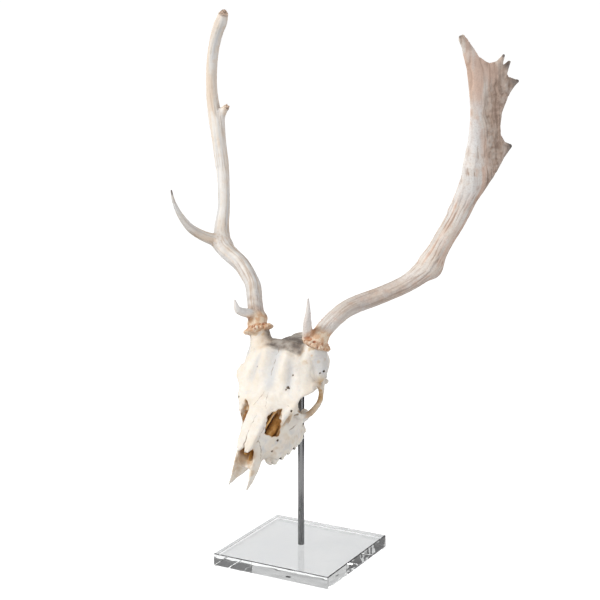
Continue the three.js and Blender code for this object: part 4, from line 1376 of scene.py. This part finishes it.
def make_base():
    """The clear plate, with rounded edges."""
    bpy.ops.mesh.primitive_cube_add(size=1, location=(0, 0, 0))
    piece = bpy.context.object
    piece.name = piece.data.name = "acrylic_base"
    for v in piece.data.vertices:
        x, y, z = v.co
        v.co = (2 * PLATE_HALF * MM * x, 2 * PLATE_HALF * MM * y, PLATE_TOP * MM * (z + 0.5))
    edge = piece.modifiers.new("edges", "BEVEL")
    edge.width = PLATE_EDGE * MM
    edge.segments = 3
    piece.data.materials.append(acrylic_look())
    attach(piece, "root")
    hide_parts("stand_base")


def make_rod():
    """The rod as rings of points, from the plate up into the skull."""
    inner, outer = ROD_RADIUS - ROD_EDGE, ROD_RADIUS
    rings = [
        (ROD_HOLE, PLATE_TOP), (inner, PLATE_TOP), (outer, PLATE_TOP + ROD_EDGE),
        (outer, ROD_TOP - ROD_EDGE), (inner, ROD_TOP), (ROD_HOLE, ROD_TOP),
    ]
    turn = np.arange(ROD_SIDES) * 2 * math.pi / ROD_SIDES
    points = [np.stack([r * np.cos(turn), r * np.sin(turn), np.full(ROD_SIDES, h)], 1) for r, h in rings]
    faces = []
    for ring in range(len(rings) - 1):
        for i in range(ROD_SIDES):
            a, b = ring * ROD_SIDES, ring * ROD_SIDES + ROD_SIDES
            j = (i + 1) % ROD_SIDES
            faces.append((a + i, a + j, b + j, b + i))
    points, faces = np.concatenate(points), np.array(faces)
    new_piece("steel_rod", points, faces, {}, steel_look(), ["stand_rod"], "rod_steel")


make_base()
make_rod()

# ---- floor, light and camera, in metres and degrees

CAMERA_AT = (1.070, -1.958, 0.885)
CAMERA_DOWN, CAMERA_TURN = 11.95, 28.7
CAMERA_SIDE = -61.3  # direction from the rod to the camera
UPRIGHT = math.radians(90)
LIT_AT = (0, 0, 0.45)  # what the lights face
FLOOR_SIZE, UNDER_BASE_SIZE = 1200, 0.194
FLOOR_LOW, UNDER_BASE_LOW = -0.0004, -0.0003  # just under the plate, so that no faces meet
# Cards that the plate mirrors: name, place, width, and whether it is the grey one.
CARDS = [
    ("card_back", (1.22, 2.24), 1.7, True), ("card_front_a", (-1.13, -2.35), 0.16, False),
    ("card_front_b", (-1.33, -2.24), 0.16, False),
]
CARD_TURN, CARD_TALL, CARD_MIDDLE = -28.6, 1.1, 0.56
# Dark flags round the rod, which only its sheen shows: directions counted from the camera's.
FLAGS = (-115, -72, 72, 115)
FLAG_AWAY, FLAG_SIZE, FLAG_MIDDLE = 0.5, (0.42, 0.5), 0.25


def staged(name, size, place, facing, material):
    bpy.ops.mesh.primitive_plane_add(size=1, location=place, rotation=facing)
    plane = bpy.context.object
    plane.name = plane.data.name = name
    plane.scale = (*size, 1)
    plane.data.materials.append(material)
    plane.visible_diffuse = False
    return plane


def lay_floor():
    flat = (0, 0, 0)
    material = plain_look("floor", 1.5, (0.86, 0.86, 0.86), (0.88, 0.88, 0.88), 0.62)
    staged("floor", (FLOOR_SIZE, FLOOR_SIZE), (0, 0, FLOOR_LOW), flat, material)
    # painted shadow: a darker, dimly glowing square on the floor under the plate
    material = plain_look("painted_shadow_under_base", 1.5, (0.40, 0.40, 0.41), (0.43, 0.43, 0.44), 0.6)
    staged("painted_shadow_under_base", (UNDER_BASE_SIZE, UNDER_BASE_SIZE), (0, 0, UNDER_BASE_LOW), flat, material)


def set_cards():
    dark = plain_look("dark_card", 2.0, (0.02, 0.02, 0.022), (0.03, 0.03, 0.032))
    grey = plain_look("grey_card", 2.0, (0.14, 0.14, 0.143), (0.20, 0.20, 0.203))
    facing = (UPRIGHT, 0, math.radians(CARD_TURN))
    for name, place, wide, is_grey in CARDS:
        card = staged(name, (wide, CARD_TALL), (*place, CARD_MIDDLE), facing, grey if is_grey else dark)
        card.visible_camera = card.visible_shadow = False
    for i, turned in enumerate(FLAGS):
        angle = math.radians(turned + CAMERA_SIDE)
        place = (FLAG_AWAY * math.cos(angle), FLAG_AWAY * math.sin(angle), FLAG_MIDDLE)
        flag = staged("flag_%d" % i, FLAG_SIZE, place, (UPRIGHT, 0, angle + UPRIGHT), dark)
        flag.visible_camera = flag.visible_shadow = flag.visible_transmission = False


def light_sky():
    """White all round, brighter near the horizon than overhead."""
    world = bpy.data.worlds.new("studio")
    bpy.context.scene.world = world
    world.use_nodes = True
    sky = world.node_tree
    facing = sky.nodes.new("ShaderNodeTexCoord")
    split = sky.nodes.new("ShaderNodeSeparateXYZ")
    height = sky.nodes.new("ShaderNodeMath")
    height.operation = "ABSOLUTE"
    glow = sky.nodes.new("ShaderNodeMapRange")
    for key, value in zip(SPAN_INPUTS[1:], (0.22, 0.42, 1.08, 0.42)):
        glow.inputs[key].default_value = value
    sky.links.new(facing.outputs["Generated"], split.inputs[0])
    sky.links.new(split.outputs["Z"], height.inputs[0])
    sky.links.new(height.outputs[0], glow.inputs["Value"])
    sky.links.new(glow.outputs["Result"], sky.nodes["Background"].inputs["Strength"])
    sky.nodes["Background"].inputs["Color"].default_value = (1.0, 1.0, 1.0, 1)


def soft_light(name, place, size, watts, colour):
    """A square area light that faces the model."""
    data = bpy.data.lights.new(name, "AREA")
    data.shape = "RECTANGLE"
    data.size = data.size_y = size
    data.energy = watts
    data.color = colour
    light = bpy.data.objects.new(name, data)
    bpy.context.scene.collection.objects.link(light)
    light.location = place
    x, y, z = np.array(LIT_AT) - np.array(place)
    light.rotation_euler = (math.atan2(math.hypot(x, y), -z), 0, math.atan2(y, x) - math.pi / 2)


def set_camera():
    data = bpy.data.cameras.new("camera")
    data.sensor_width = 36
    data.lens = 90
    data.clip_start = 0.1
    data.clip_end = 1000
    camera = bpy.data.objects.new("camera", data)
    bpy.context.scene.collection.objects.link(camera)
    camera.location = CAMERA_AT
    camera.rotation_euler = (math.radians(90 - CAMERA_DOWN), 0, math.radians(CAMERA_TURN))
    bpy.context.scene.camera = camera


lay_floor()
set_cards()
light_sky()
soft_light("key", (-1.55, -2.15, 2.5), 1.0, 72, (1.0, 0.985, 0.96))
soft_light("fill", (2.6, -1.2, 1.2), 1.4, 8, (0.93, 0.93, 1.0))
set_camera()
bpy.context.scene.view_settings.view_transform = "Standard"
